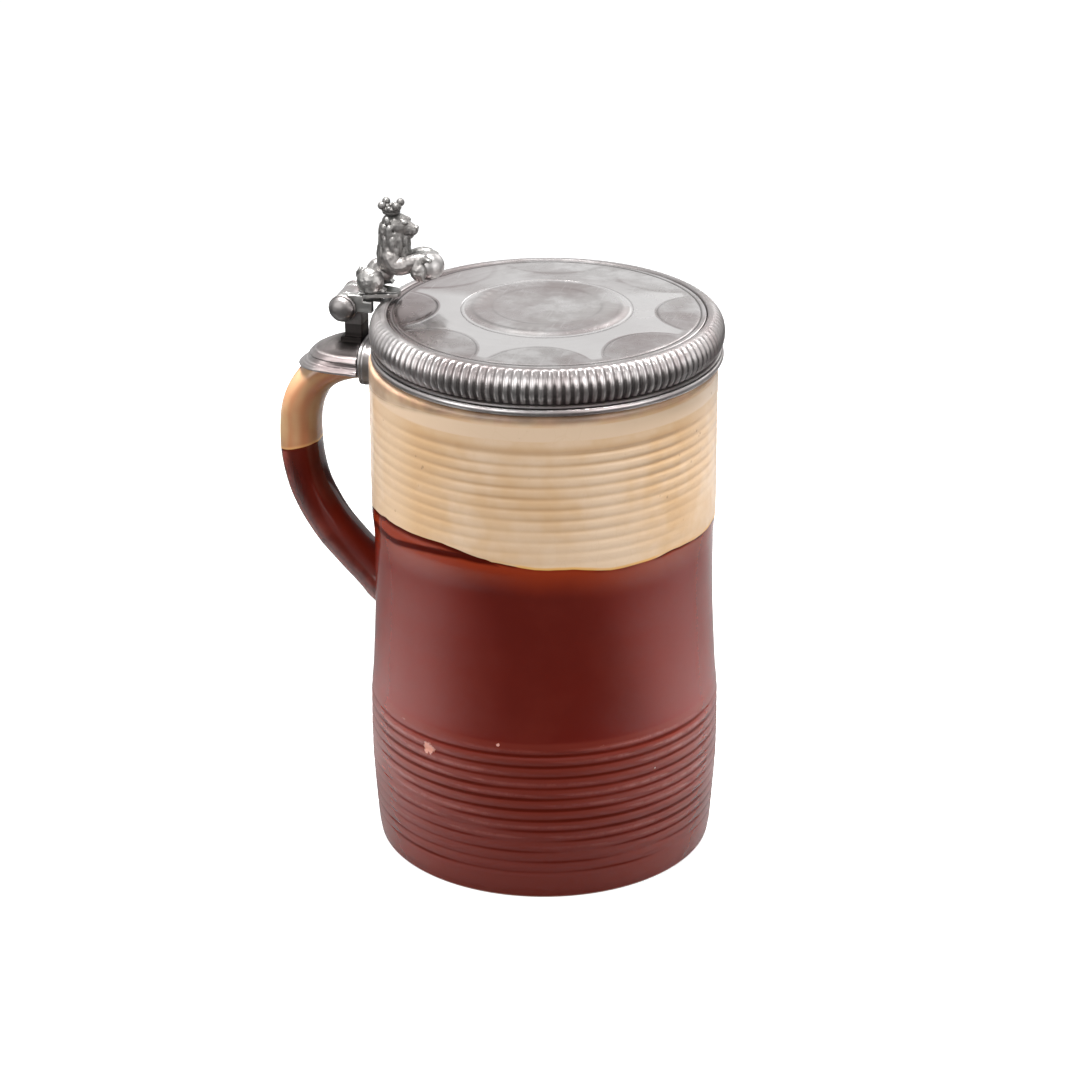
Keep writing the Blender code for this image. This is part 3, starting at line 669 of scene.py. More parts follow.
def glaze_material(name, colours, pale_cream, cream, brown, glow=0.85):
    """Cream glaze over brown glaze, told apart by the height above the glaze line in millimetres."""
    material, wires = new_material(name)
    place = wires.place()
    skin = wires.group(glaze_group(), place)
    mottle = skin["Mottle"]
    hollow = wires.number("hollow")
    bare_clay = wires.number("bare")
    matte = wires.number("matte")
    streaks = wires.number("streaks")
    ragged = wires.spread(wires.noise(place, 60.0, 2.0), 0.25, 0.75, -0.3, 0.3)
    above = wires.math("ADD", wires.number("above_line"), ragged)
    over = wires.math("ADD", wires.number("above_overlap"), ragged)
    edge = wires.math("MINIMUM", above, over)
    upper = wires.spread(edge, -0.12, 0.12)
    broken = wires.spread(wires.noise(place, 55.0, 1.0), 0.44, 0.56)
    # On the pot, the streaks mark also carries painted light that turns the sides paler.
    thick = wires.most(skin["Cloud"], streaks)
    rosy = wires.times(wires.number("worn"), wires.spread(mottle, 0.42, 0.6))
    # Soiling and painted shade under the collar.
    dirt_and_shade = wires.times(wires.number("grime_and_shade"), wires.spread(skin["Cloud"], 0.3, 0.6, 0.35, 1.0))
    pale_edge = wires.times(wires.spread(above, 1.1, 0.3), wires.spread(broken, 0.0, 1.0, 0.3, 1.0))
    light = wires.coats(
        cream,
        (wires.spread(thick, 0.35, 0.65), pale_cream),
        (wires.spread(streaks, -0.05, -0.9), colours.handle_streak),
        (wires.spread(hollow, 0.5, 0.95, 0.0, 0.7), colours.ochre),
        (wires.times(skin["Cracks"], 0.07), colours.ochre),
        (wires.times(skin["Specks"], 0.35), colours.soil_and_shade),
        (wires.times(rosy, 0.4), colours.clay),
        (dirt_and_shade, colours.soil_and_shade),
        (pale_edge, colours.amber),
    )
    thin = wires.spread(skin["Cloud"], 0.4, 0.7, 0.0, 0.2)
    thin = wires.most(thin, wires.spread(hollow, 0.5, 0.15, 0.0, 0.5), matte)
    # The rubbed mark also carries painted highlights on the lower ribs and on the handle.
    rubbed = wires.times(wires.number("rubbed"), wires.spread(mottle, 0.35, 0.6, 0.4, 1.0))
    rim_line = wires.times(wires.spread(edge, -1.1, -0.1), wires.spread(broken, 1.0, 0.0, 0.25, 1.0))
    wedge = wires.spread(over, 0.0, -0.4)
    under_line = wires.times(wires.spread(wires.math("ABSOLUTE", above), 1.7, 0.5), wedge)
    upper_line = wires.times(wires.spread(over, -2.2, -0.6), wires.spread(above, 0.0, 0.6))
    lines = wires.most(rim_line, under_line, upper_line)
    dark = wires.coats(
        brown,
        # Painted light on the brown towards the pot's sides.
        (wires.number("thin"), colours.brown_lit_side),
        (thin, colours.brown_worn),
        (wires.spread(above, -11.0, -0.5, 0.0, glow), colours.brown_glow),
        # Hollows, and painted shade on the handle's inner side.
        (wires.spread(hollow, 0.6, 0.95, 0.0, 0.75), colours.brown_deep),
        (rubbed, colours.brown_rubbed_and_highlight),
        (lines, colours.brown_deep),
    )
    chips = wires.math("ADD", wires.number("chips"), wires.spread(mottle, 0.3, 0.7, -0.3, 0.3))
    chips = wires.spread(chips, 0.42, 0.66, 0.0, 0.85)
    base = wires.coats(dark, (upper, light), (chips, colours.clay), (bare_clay, colours.clay))
    satin = wires.most(wires.spread(upper, 0.0, 1.0, 0.13, 0.22), wires.times(matte, 0.5))
    roughness = wires.most(satin, wires.times(wires.most(bare_clay, chips), 0.8))
    normal = wires.add("Bump", {"Strength": 0.07, "Distance": 0.001, "Height": skin["Height"]})
    deep = wires.most(lines, wires.spread(hollow, 0.55, 0.85))
    shine = wires.spread(wires.times(deep, wires.spread(upper, 1.0, 0.0)), 0.0, 1.0, 0.56, 0.08)
    inputs = {"Base Color": base, "Roughness": roughness, "Normal": normal, "Specular IOR Level": shine}
    wires.surface(wires.add("BsdfPrincipled", inputs))
    return material


# Pot

# Height of the wall and its outer radius over the ribs' crests, in millimetres
WALL = (
    (0.0, 54.2), (4.0, 54.9), (9.0, 55.35), (20.0, 56.15), (28.0, 56.6), (38.0, 56.74), (50.0, 56.62),
    (54.2, 56.28), (57.0, 55.96), (61.0, 55.68), (66.0, 55.4), (72.0, 55.08), (80.0, 54.7),
    (90.0, 54.45), (106.0, 54.45), (110.0, 54.75), (113.0, 55.1), (120.0, 55.2), (166.0, 55.2),
)

# Edges of the two glazes: degrees to the right of the camera's side, height in millimetres
GLAZE_LINE = (
    (-180, 114.2), (-140, 115.2), (-110, 113.4), (-80, 112.8), (-60, 113.3), (-44, 115.3), (-28, 117.2),
    (-14, 116.5), (-3, 114.9), (9, 114.5), (22, 113.4), (46, 114.2), (85, 113.0), (130, 115.0),
    (180, 114.2),
)
OVERLAP_LINE = (
    (-180, 114.2), (-120, 113.0), (-95, 114.0), (-82, 116.6), (-65, 119.7), (-35, 119.9), (-28, 119.1),
    (-19, 117.2), (-11, 114.0), (0, 110.0), (90, 110.0), (150, 112.0), (180, 114.2),
)

# Height over a glaze line that stands for no line at all, in millimetres
FAR_ABOVE = 40.0

# Chips: degrees to the right of the camera's side, height and size in millimetres, depth
CHIPS = (
    (-39.8, 48.6, 2.1, 1.05), (-15.2, 54.9, 0.9, 0.75), (-11.0, 54.7, 0.8, 0.65), (37.9, 45.7, 0.9, 0.66),
    (38.0, 41.8, 0.9, 0.62), (36.0, 34.0, 0.8, 0.62), (128.0, 50.5, 1.1, 0.9), (171.0, 44.0, 0.9, 0.7),
)


def wall_radius(z):
    """Outer radius of the pot's wall at heights in metres."""
    return through(WALL, np.asarray(z) / MM, 0.9) * MM


def grooves(z, first, pitch, number, sharpness):
    """1 in the middle of each groove, counted down from the first, and 0 on the crests."""
    turn = (first - z) / pitch
    near = np.clip(np.round(turn), 0, number - 1)
    reach = np.clip(np.abs(turn - near), 0, 0.5)
    return (0.5 + 0.5 * np.cos(2 * math.pi * reach)) ** sharpness


def build_pot(pot):
    """Thrown pot with its ribs, lip, foot, inside and unglazed base, marked for the glazes."""
    angle = even_turns(pot.steps)
    seen = facing(angle)
    high = LIP_Z - pot.lip
    lower_first = pot.lower_start + (pot.lower_ribs - 1) * pot.lower_pitch
    lower_top = pot.lower_start + pot.lower_ribs * pot.lower_pitch + 1.5 * MM
    upper_first = LIP_Z - pot.upper_drop
    upper_low = upper_first - pot.upper_ribs * pot.upper_pitch
    ribbed_low = np.arange(pot.foot, lower_top, pot.row)
    plain = np.arange(lower_top, upper_low, 1.2 * MM)
    ribbed_high = np.arange(upper_low, high, pot.row)
    z = np.concatenate([ribbed_low, plain, ribbed_high, [high]])[:, None]
    calm = 0.25 + 0.75 * smooth_step(np.abs(turned_from(seen, -1.4)), 0.35, 0.95)
    calm = calm * (0.35 + 0.65 * smooth_step(np.abs(turned_from(seen, 1.5)), 0.4, 0.85))
    aside = 1 - 0.25 * smooth_step(np.abs(seen), 0.15, 0.6)
    upper = grooves(z, upper_first, pot.upper_pitch, pot.upper_ribs, 2.2)
    fade = smooth_step(z, LIP_Z - 54 * MM, LIP_Z - 18 * MM) * 0.78 + 0.22
    fade = fade * np.clip(0.8 + 0.35 * wander(angle + 40 * z, 3), 0.2, 1.1) * calm * aside
    lower = grooves(z, lower_first, pot.lower_pitch, pot.lower_ribs, 1.25)
    rubbed = np.clip(0.85 + 0.25 * wander(angle + 90 * z, 5), 0.4, 1.0)
    worn = rubbed * aside * (1 - 0.5 * hill(np.abs(seen), 1.2, 0.25))
    outer = wall_radius(z) + pot.wobble * (wander(angle + 12 * z, 7, 4) - 1.0)
    outer = outer - pot.upper_depth * upper * fade - pot.lower_depth * lower * worn
    # Painted shade: a tan band under the lip in the ochre colour, as if a shallow hollow were there.
    shallow_shade = 0.6 * hill(z, LIP_Z - 11.4 * MM, 1.9 * MM) * calm
    hollow = np.clip(np.maximum(upper * fade, shallow_shade) + lower * rubbed, 0, 1)
    crest = (1 - hollow) * (1 - smooth_step(z, lower_top - 2 * MM, lower_top))
    mouth = wall_radius(high) - pot.wall
    fillet = 7.0 * MM
    lip_out = [rows[1:] for rows in arc(outer[-1] - pot.lip, high, pot.lip, 0, 90, 8)]
    lip_in = arc(mouth + pot.lip, high, pot.lip, 90, 180, 8)
    inside_z = np.linspace(high, pot.floor + fillet, 60)[1:, None]
    inside_r = mouth + 0.12 * MM * np.sin(inside_z / (4.4 * MM) + angle)
    corner = [rows[1:] for rows in arc(mouth - fillet, pot.floor + fillet, fillet, 0, -90, 9)]
    swirl_r = np.linspace(mouth - fillet, 1.0 * MM, 36)[1:, None]
    swirl_z = pot.floor + 0.25 * MM * np.sin(swirl_r / (1.1 * MM) + angle) * grows(swirl_r, 0, 6)
    foot_r, foot_z = (rows[:-1] for rows in arc(outer[0] - pot.foot, pot.foot, pot.foot, -90, 0, 7))
    base_r = column(3.0, 44.0, 46.0, 47.0) * MM
    base_z = column(0.9, 0.9, 0.5, 0.0) * MM
    blocks = [
        (base_r, base_z, 1.0, 0.5, False),
        (foot_r, foot_z, fades(foot_z, 0.4, 1.1), 0.5, False),
        (outer, z, 0.0, 0.5 + 0.5 * hollow - 0.35 * crest, False),
        (*lip_out, 0.0, 0.4, False),
        (*lip_in, 0.0, 0.4, True),
        (inside_r, inside_z, 0.0, 0.5, True),
        (*corner, 0.0, 0.55, True),
        (swirl_r, swirl_z, 0.0, 0.5, True),
    ]
    radii, tops, bare_clay, hollows, inside = ring_rows(pot.steps, blocks)
    obj = turned("thrown_pot", radii, tops)
    mark(obj, "bare", bare_clay)
    mark(obj, "hollow", hollows)
    # Thin lines near the lower ribs' crests, stronger towards the sides: rubbed glaze and painted highlights,
    # in the rubbed-brown colour.
    crests = grooves(tops, lower_first + 0.42 * pot.lower_pitch, pot.lower_pitch, pot.lower_ribs + 1, 5.0)
    crests = crests * grows(tops, 14, 24)
    crests = crests * smooth_step(wander(seen * 3 + 400 * tops, 15), -0.5, 0.5)
    crests = crests * (0.35 + 0.65 * smooth_step(np.abs(seen), 0.15, 0.6))
    mark(obj, "rubbed", np.where(inside | (tops > lower_top), 0.0, crests))
    mark_glazes(obj, seen, angle, tops, inside)
    return obj


def mark_glazes(obj, seen, angle, tops, inside):
    """Marks where the pot's glazes end, chip and turn dull, where soiling and painted shade lie under the
    collar, and where painted light makes them lighter towards the sides.
    """
    degrees = np.degrees(seen)
    line = np.interp(degrees, *zip(*GLAZE_LINE)) + 0.5 * wander(seen, 11)
    second = np.interp(degrees, *zip(*OVERLAP_LINE)) + 0.3 * wander(seen, 12)
    mark(obj, "above_line", np.where(inside, FAR_ABOVE, tops / MM - line))
    mark(obj, "above_overlap", np.where(inside, FAR_ABOVE, tops / MM - second))
    mark(obj, "worn", np.clip(1 - np.abs(tops - (LIP_Z - 1.2 * MM)) / (2.6 * MM), 0, 1))
    # Painted light: the lower glaze is lighter and redder towards the sides.
    mark(obj, "thin", smooth_step(np.abs(degrees) + 9 * wander(angle + 14 * tops, 14), 10, 46))
    chips = 0.2 * hill(tops / MM, 54.0, 0.8) * smooth_step(wander(seen * 5, 13), -0.3, 0.5)
    for turn, height, reach, level in CHIPS:
        across = np.radians(degrees - turn) * wall_radius(height * MM) / MM
        away = np.hypot(across, tops / MM - height)
        chips = np.maximum(chips, level - 0.5 * away / reach)
    # Soiling and painted shade under the collar, reaching lower on the left side.
    left = smooth_step(-degrees, 20, 85) * (1 - smooth_step(-degrees, 105, 130))
    grime_shade_low = LIP_Z - (3.4 + 5.5 * left) * MM
    grime_and_shade = (0.9 - 0.1 * left) * smooth_step((tops - grime_shade_low) / MM, 0.0, 2.4)
    band = smooth_step(tops, LIP_Z - 9.8 * MM, LIP_Z - 7.6 * MM)
    band = band * (1 - smooth_step(tops, LIP_Z - 3.6 * MM, LIP_Z - 2.6 * MM))
    # Painted light: the upper glaze is paler towards both sides, a little more on the left.
    side = np.where(degrees < 0, 0.52, 0.46) * smooth_step(np.abs(degrees), 15, 60)
    outside = {
        "chips": np.clip(chips, 0, 1),
        "grime_and_shade": grime_and_shade,
        "matte": np.maximum(0.5 * fades(tops, 50, 58), 0.9 * grime_and_shade),
        "streaks": np.maximum(0.62 * band, side),
    }
    for name, values in outside.items():
        mark(obj, name, np.where(inside, 0.0, values))


# Handle and the pewter on it


def bezier(points, t):
    """Point and direction at t on a cubic curve."""
    a, b, c, d = points
    s = 1 - t
    point = a * s**3 + b * 3 * s * s * t + c * 3 * s * t * t + d * t**3
    return point, ((b - a) * s * s + (c - b) * 2 * s * t + (d - c) * t * t).normalized()


def handle_line(rings):
    """Places down the handle's middle line: (point, direction, half width, half thickness)."""
    upper = [(-51.2, 158.6), (-72.34, 158.6), (-81.4, 149.832), (-81.4, 131.2)]
    lower = [(-81.4, 131.2), (-81.4, 109.276), (-70.332, 96.226), (-50.4, 79.0)]
    sections = ((8.6, 5.2), (8.2, 6.6), (8.2, 6.0))
    line = []
    for part, curve in enumerate((upper, lower)):
        curve = [Vector((x, 0, z)) * MM for x, z in curve]
        for i in range(rings + part):
            point, along = bezier(curve, i / rings)
            one, two = sections[part], sections[part + 1]
            wide, thick = (MM * (one[k] + (two[k] - one[k]) * i / rings) for k in (0, 1))
            line.append((point, along, wide, thick))
    return line


def bar_rings(line, sides, squareness, grow):
    """Rings of a rounded bar along the line, each grown outwards by its own amount."""
    bend = 2 / squareness
    turns = even_turns(sides)
    across = np.sign(np.cos(turns)) * np.abs(np.cos(turns)) ** bend
    out = np.sign(np.sin(turns)) * np.abs(np.sin(turns)) ** bend
    rings = []
    for (point, along, wide, thick), more in zip(line, grow):
        outward = along.cross(Vector((0, 1, 0)))
        ring = np.outer(across * (wide + more), (0, 1, 0)) + np.outer(out * (thick + more), outward)
        rings.append(ring + np.array(point))
    return np.array(rings)


def closed_bar(rings):
    """Points and faces of a bar with flat ends."""
    rows, sides = rings.shape[:2]
    last = (rows - 1) * sides
    caps = [list(range(sides))[::-1], list(range(last, last + sides))]
    return rings.reshape(-1, 3), ring_faces(rows, sides, False) + caps


def cut(solid, planes):
    """What is left of a solid behind every plane, each a point and the direction that is cut away."""
    shape = bmesh.new()
    verts = [shape.verts.new(p) for p in np.asarray(solid[0]).tolist()]
    for face in solid[1]:
        shape.faces.new([verts[i] for i in face])
    for point, away in planes:
        geometry = shape.verts[:] + shape.edges[:] + shape.faces[:]
        made = bmesh.ops.bisect_plane(shape, geom=geometry, plane_co=point, plane_no=away, clear_outer=True)
        rim = [e for e in made["geom_cut"] if isinstance(e, bmesh.types.BMEdge)]
        bmesh.ops.edgeloop_fill(shape, edges=rim)
    return bare(shape)


def build_handle(handle):
    """Pulled handle with soft flats along it and its clay spread on the pot at the lower root."""
    line = handle_line(handle.rings)
    wall_x, half_way = 54.4 * MM, 110 * MM
    away = np.array([-point.x for point, *_ in line]) - wall_x
    low = np.array([point.z < half_way for point, *_ in line])
    grow = np.where(low, handle.flare * np.exp(-np.clip(away, 0, None) / (2.6 * MM)), 0.0)
    rings = bar_rings(line, handle.sides, handle.squareness, grow)
    obj = piece("pulled_handle_bar", *closed_bar(rings), sharp=60)
    roughen(obj, handle.wobble, 9 * MM, 4.0)
    x, y, z = places(obj)
    edge = (handle.glaze_line + 0.22 * (x + 88 * MM)) / MM + 0.5 * wander(y * 160, 21)
    mark(obj, "above_line", z / MM - edge)
    mark_all(obj, "above_overlap", FAR_ABOVE)
    inner = np.tile(np.sin(even_turns(handle.sides)), len(line))
    inner = inner + 0.12 * wander(z * 60, 22) + 0.08 * wander(y * 420, 24)
    runs = hill(inner, 0.3, 0.45) + 0.7 * hill(inner, -0.3, 0.2)
    mark(obj, "streaks", np.clip(0.45 + 0.3 * wander(y * 300 + x * 60, 23) - runs, -1, 1))
    for name in ("bare", "worn", "chips", "matte", "grime_and_shade", "thin"):
        mark_all(obj, name, 0.0)
    # Painted shade: the brown part is darker and less shiny towards its inner side, which faces the pot.
    below = smooth_step(edge - z / MM, 0.0, 1.5)
    mark(obj, "hollow", 0.5 + 0.24 * below * smooth_step(inner, -0.5, 0.4))
    # Painted light: the outer flank of the brown part is lighter and redder, and a glint streak sits low on
    # the handle, both in the rubbed-brown colour.
    glint = 0.3 * hill(inner, -0.1, 0.22) * fades(z, 100, 114)
    lit_flank = smooth_step(-inner, 0.15, 0.6) * (0.9 - 0.75 * smooth_step(-inner, 0.78, 0.95))
    mark(obj, "rubbed", np.maximum(lit_flank, glint))
    return obj


def build_root_band(handle):
    """Band round the handle's upper root with two soft beads."""
    point, _, wide, thick = handle_line(handle.rings)[0]
    along = Vector((-1, 0, 0))
    profile = ((53.6, 0.3), (53.6, 2.0), (56.0, 2.15), (56.4, 2.45), (56.9, 2.5), (57.3, 2.2))
    profile += ((57.7, 2.4), (58.1, 2.35), (58.3, 1.9), (58.3, 0.3))
    stops = [(Vector((-x * MM, 0, point.z)), along, wide, thick) for x, _ in profile]
    rings = bar_rings(stops, handle.sides, 2.6, [g * MM for _, g in profile])
    faces = ring_faces(len(profile), handle.sides, True)
    obj = piece("root_band_ring", rings, faces, sharp=50)
    roughen(obj, 0.1 * MM, 3 * MM, 9.0)
    mark_hollows(obj, 6, 0.2 * MM)
    # Soiling and painted shade darken and dull the whole band.
    mark_all(obj, "soot_and_shade", 0.4)
    return obj


def build_hood(handle):
    """Hood over the handle's knee with its flange, and the post that carries the hinge."""
    line = []
    for point, along, wide, thick in handle_line(handle.rings):
        lift = 1.3 * MM * grows(-point.x, 58, 66)
        lift = lift * fades(-point.x, 69, 76)
        line.append((point - along.cross(Vector((0, 1, 0))) * float(lift), along, wide, thick))
    tip = grows(np.array([-point.x for point, *_ in line]), 65, 74)
    slope = Vector((0.03, 0, 1)).normalized()
    start = -58.6 * MM
    rim = Vector((start, 0, 155.6 * MM))
    lumps = []
    # Growth over the handle at the root and at the tip, low and high end above the rim, in millimetres
    layers = ((2.6, 1.7, 0.0, 0.8), (2.3, 1.5, 0.6, 1.5), (1.9, 1.2, 1.3, 2.2), (1.35, 0.9, 2.0, 4.2))
    layers += ((2.35, 1.7, 4.0, 5.9), (1.95, 1.55, 5.0, None))
    for grow, tip_grow, low, high in layers:
        outgrown = (grow + (tip_grow - grow) * tip) * MM
        bar = closed_bar(bar_rings(line, handle.sides, handle.squareness, outgrown))
        planes = [(Vector((start, 0, 0)), Vector((1, 0, 0))), (rim + slope * low * MM, -slope)]
        if high:
            planes.append((rim + slope * high * MM, slope))
        lumps.append(cut(bar, planes))
    half = 3.7 * MM
    spread_half = half + 0.8 * MM
    x0, low = HINGE.x - 0.6 * MM, 163 * MM
    lumps.append(slab(oblong(x0, start, -half, half), low, HINGE.z - 0.6 * MM))
    lumps.append(slab(oblong(x0 - 1.2 * MM, start, -spread_half, spread_half), low, 166.6 * MM))
    lumps.append(knuckle(-half, half))
    obj = cast("handle_hood", lumps, handle.cast_grain, 4)
    roughen(obj, 0.06 * MM, 6 * MM, 2.0)
    mark_hollows(obj, 14, 0.5 * MM)
    x, _, z = places(obj)
    # Painted shade: the post is dark at its foot and lighter upwards, and the hood's top is darkened, more
    # towards the post.
    post = grows(z, 163.3, 165) * grows(x, -67.5, -66)
    clean = 0.4 * grows(z, 167, 171) + 0.6 * grows(z, 171, 176)
    post = post * (1 - clean)
    top = grows(z, 161.0, 162.3) * (0.65 + 0.25 * grows(x, -73, -65))
    mark(obj, "soot_and_shade", np.where(z < 171 * MM, np.maximum(post, top), post))
    return obj


def build_pin():
    """Pin through the knuckles with a domed, beaded head at each end."""
    outline = ((6.9, 0.4), (6.9, 4.0), (7.15, 4.4), (7.5, 4.5), (7.8, 4.35), (7.95, 4.1), (8.15, 4.12))
    outline += ((8.7, 3.95), (9.3, 3.5), (9.8, 2.85), (10.1, 2.2), (10.25, 1.5), (10.38, 0.9))
    stops = [(-y, r) for y, r in reversed(outline)] + [(-6.8, 1.2), (6.8, 1.2), *outline]
    along, across = np.array(stops).T[:, :, None] * MM
    turns = even_turns(64)
    rings = np.broadcast_arrays(HINGE.x + across * np.cos(turns), along, HINGE.z + across * np.sin(turns))
    obj = piece("hinge_pin_heads", *closed_bar(np.stack(rings, -1)), sharp=50)
    roughen(obj, 0.12 * MM, 2.2 * MM, 6.0)
    dark = [0.85 if 7.9 < abs(y) < 8.2 else 0.4 + 0.2 * (abs(y) < 7.2) for y, _ in stops]
    mark(obj, "hollow", np.repeat(dark, len(turns)))
    mark_all(obj, "soot_and_shade", 0.5)
    return obj


# Lid


def dome(radius):
    """Height of the lid plate's face at a radius from its middle."""
    return PLATE_HIGH.z - 1.6 * MM * (radius / PLATE_RADIUS) ** 2


def build_plate(lid):
    """Lid plate with a turned groove and raised scallops."""
    angle = even_turns(lid.steps)
    seat_r = ROSETTE_HIGH.x - LID_X + 0.08 * MM
    r = np.arange(seat_r, PLATE_RADIUS - 0.2 * MM, 0.3 * MM)[:, None]
    x, y = r * np.cos(angle), r * np.sin(angle)
    first = FRONT - math.pi / 2 + math.radians(-3.5)
    filled = 0.86
    reach = math.pi / lid.scallops * filled
    corner = Vector((lid.scallop_end * math.cos(reach), lid.scallop_end * math.sin(reach)))
    middle = (corner.length_squared - lid.scallop_apex**2) / (2 * (corner.x - lid.scallop_apex))
    radius = middle - lid.scallop_apex
    inside = np.full(x.shape, -1.0)
    for k in range(lid.scallops):
        turn = first + 2 * math.pi * k / lid.scallops
        away = np.hypot(x - middle * math.cos(turn), y - middle * math.sin(turn))
        inside = np.maximum(inside, radius - away)
    faded = smooth_step(np.abs(facing(angle)), math.radians(100), math.radians(125))
    wear = np.clip(0.8 + 0.3 * wander(angle, 31), 0.35, 1.0) * (1 - 0.6 * faded)
    lens = grows(inside, 0.0, 0.9)
    lens = lens * (1 - smooth_step(r, lid.groove - 1.6 * MM, lid.groove - 0.7 * MM))
    line = hill(inside, 0.0, 0.85 * MM) * fades(r, 44, 47)
    top = dome(r) - 0.24 * MM * hill(r, lid.groove, 0.42 * MM)
    top = top + wear * (lid.scallop_rise * lens - 0.1 * MM * line)
    top = top + 0.03 * MM * wander(angle * 2 + r * 300, 32)
    dark = np.clip(0.5 * line * wear + 0.5 * hill(r, lid.groove, 0.55 * MM), 0, 1)
    star = fades(inside, -0.8, 0.2) * fades(r, 44, 47.5)
    star = star + faded * (0.35 * fades(r, 45, 48) - star)
    face = 0.5 + 0.5 * dark - 0.4 * star * (1 - dark)
    edge = column(2 * MM, 20 * MM, PLATE_RADIUS, PLATE_RADIUS, PLATE_RADIUS - 0.1 * MM)
    edge_z = dome(edge) - column(2.2, 2.2, 2.2, 0.25, 0.05) * MM
    recess = column(seat_r, 2.0 * MM)
    blocks = [
        (edge, edge_z, 0.5),
        (r[::-1], top[::-1], face[::-1]),
        (recess, ROSETTE_LOW.z - 0.3 * MM, 0.5),
    ]
    radii, tops, hollows = ring_rows(lid.steps, blocks)
    obj = turned("lid_plate_scalloped", radii, tops, LID_X)
    mark(obj, "hollow", hollows)
    mark(obj, "stain", 0.8 * fades(radii * np.cos(angle), -45, -9))
    return obj


def build_gadroons(lid):
    """Convex rim with straight ribs, dark between them, over a hollow that the collar closes; painted shade
    darkens the gaps towards its bottom, its right side, and the lower part of its left side in the stain
    colour.
    """
    steps = lid.ribs * lid.rib_steps
    angle = even_turns(steps)
    seen = facing(angle)
    bulge, bulge_z, wall = 4.8 * MM, 6.0 * MM, 2.0 * MM
    centre_r, centre_z = LID_RADIUS - 5.4 * MM, LID_HIGH.z - bulge_z
    foot = math.asin((LID_LOW.z - centre_z) / bulge_z)
    turn = np.linspace(math.pi / 2, foot, 34)[:, None]
    ridge = (0.5 + 0.5 * np.cos(angle * lid.ribs)) ** 1.15
    wear = np.clip(0.56 + 0.18 * wander(angle, 41) + 0.42 * np.cos(seen - 0.35), 0.25, 1.0)
    begin = 1 - smooth_step(turn, math.radians(56), math.radians(82))
    shade = begin * wear * (1 - ridge)
    depth = lid.rib_depth * shade
    outer_r = centre_r + (bulge - depth) * np.cos(turn)
    outer_z = centre_z + (bulge_z - depth) * np.sin(turn)
    outer_z[-1] = LID_LOW.z
    # Painted shade: the gaps between the ribs are darker towards the rim's bottom, over their tarnish.
    low_shade = 1 - smooth_step(turn, math.radians(-5), math.radians(45))
    face = 0.5 + np.clip(0.4 * shade * (0.25 + 0.75 * low_shade), 0, 0.24) - 0.2 * begin * ridge**2
    face = face - 0.28 * smooth_step(-np.sin(seen), 0.5, 0.95)
    # Painted shade in the stain colour on the lower part of the left side.
    mauve_shade = 0.4 * low_shade * smooth_step(-np.sin(seen), 0.3, 0.9)
    # Painted shade: the right side darker.
    soot_and_shade = 0.32 * smooth_step(np.sin(seen), 0.5, 0.95)
    inmost = PLATE_RADIUS + 0.3 * MM
    across = column(inmost, PLATE_RADIUS + 0.5 * MM, centre_r - 0.2 * MM)
    across_z = LID_HIGH.z - column(0.3, 0.0, 0.0) * MM
    under = column(centre_r + (bulge - wall) * math.cos(foot), centre_r, inmost)
    under_z = column(LID_LOW.z, LID_HIGH.z - wall, LID_HIGH.z - wall)
    blocks = [
        (across, across_z, 0.5, 0.0, soot_and_shade),
        (outer_r, outer_z, face, mauve_shade, soot_and_shade),
        (under, under_z, 0.5, 0.0, soot_and_shade),
    ]
    radii, tops, hollows, stains, right_shades = ring_rows(steps, blocks)
    obj = turned("lid_gadroons", radii, tops, LID_X, loop=True, sharp=70)
    mark(obj, "hollow", hollows)
    mark(obj, "stain", stains)
    mark(obj, "soot_and_shade", right_shades)
    return obj


def build_collar():
    """Plain band on the lip with a stepped top edge, and the bezel that drops into the mouth."""
    outer = COLLAR_HIGH.x - LID_X
    top, seat_z, low = COLLAR_HIGH.z, LIP_Z + 0.3 * MM, COLLAR_LOW.z
    swell = [math.radians(70 - 14 * i) for i in range(11)]
    bulge, rise = 0.7 * MM, 1.05 * MM
    band = [(outer - bulge + bulge * math.cos(a), seat_z + rise * (1 + math.sin(a))) for a in swell]
    profile = [(46 * MM, top), (outer - 1.0 * MM, top), (outer - 0.7 * MM, top - 0.15 * MM)]
    profile += [(outer - 0.65 * MM, top - 0.6 * MM), (outer - 0.95 * MM, top - 0.85 * MM)] + band
    profile += [(outer - 0.9 * MM, seat_z), (47.9 * MM, seat_z), (47.8 * MM, seat_z - 0.2 * MM)]
    profile += [(47.8 * MM, low + 0.4 * MM), (47.5 * MM, low), (46.1 * MM, low), (45.8 * MM, low + 0.4 * MM)]
    profile += [(45.8 * MM, top - 0.2 * MM)]
    angle = even_turns(256)
    r = np.array([[p[0]] for p in profile]) - 0.05 * MM * (1 + wander(angle, 51, 5)) / 2
    z = np.array([[p[1]] for p in profile]) + 0 * angle
    obj = turned("lid_collar_band", r, z, LID_X, loop=True, sharp=40)
    # Dirt lies in the step over the band and along the band's two edges
    dark = np.full(len(profile), 0.45)
    dark[4] = 0.85
    dark[[5, -9]] = 0.7
    mark(obj, "hollow", dark[:, None] + 0 * angle)
    return obj


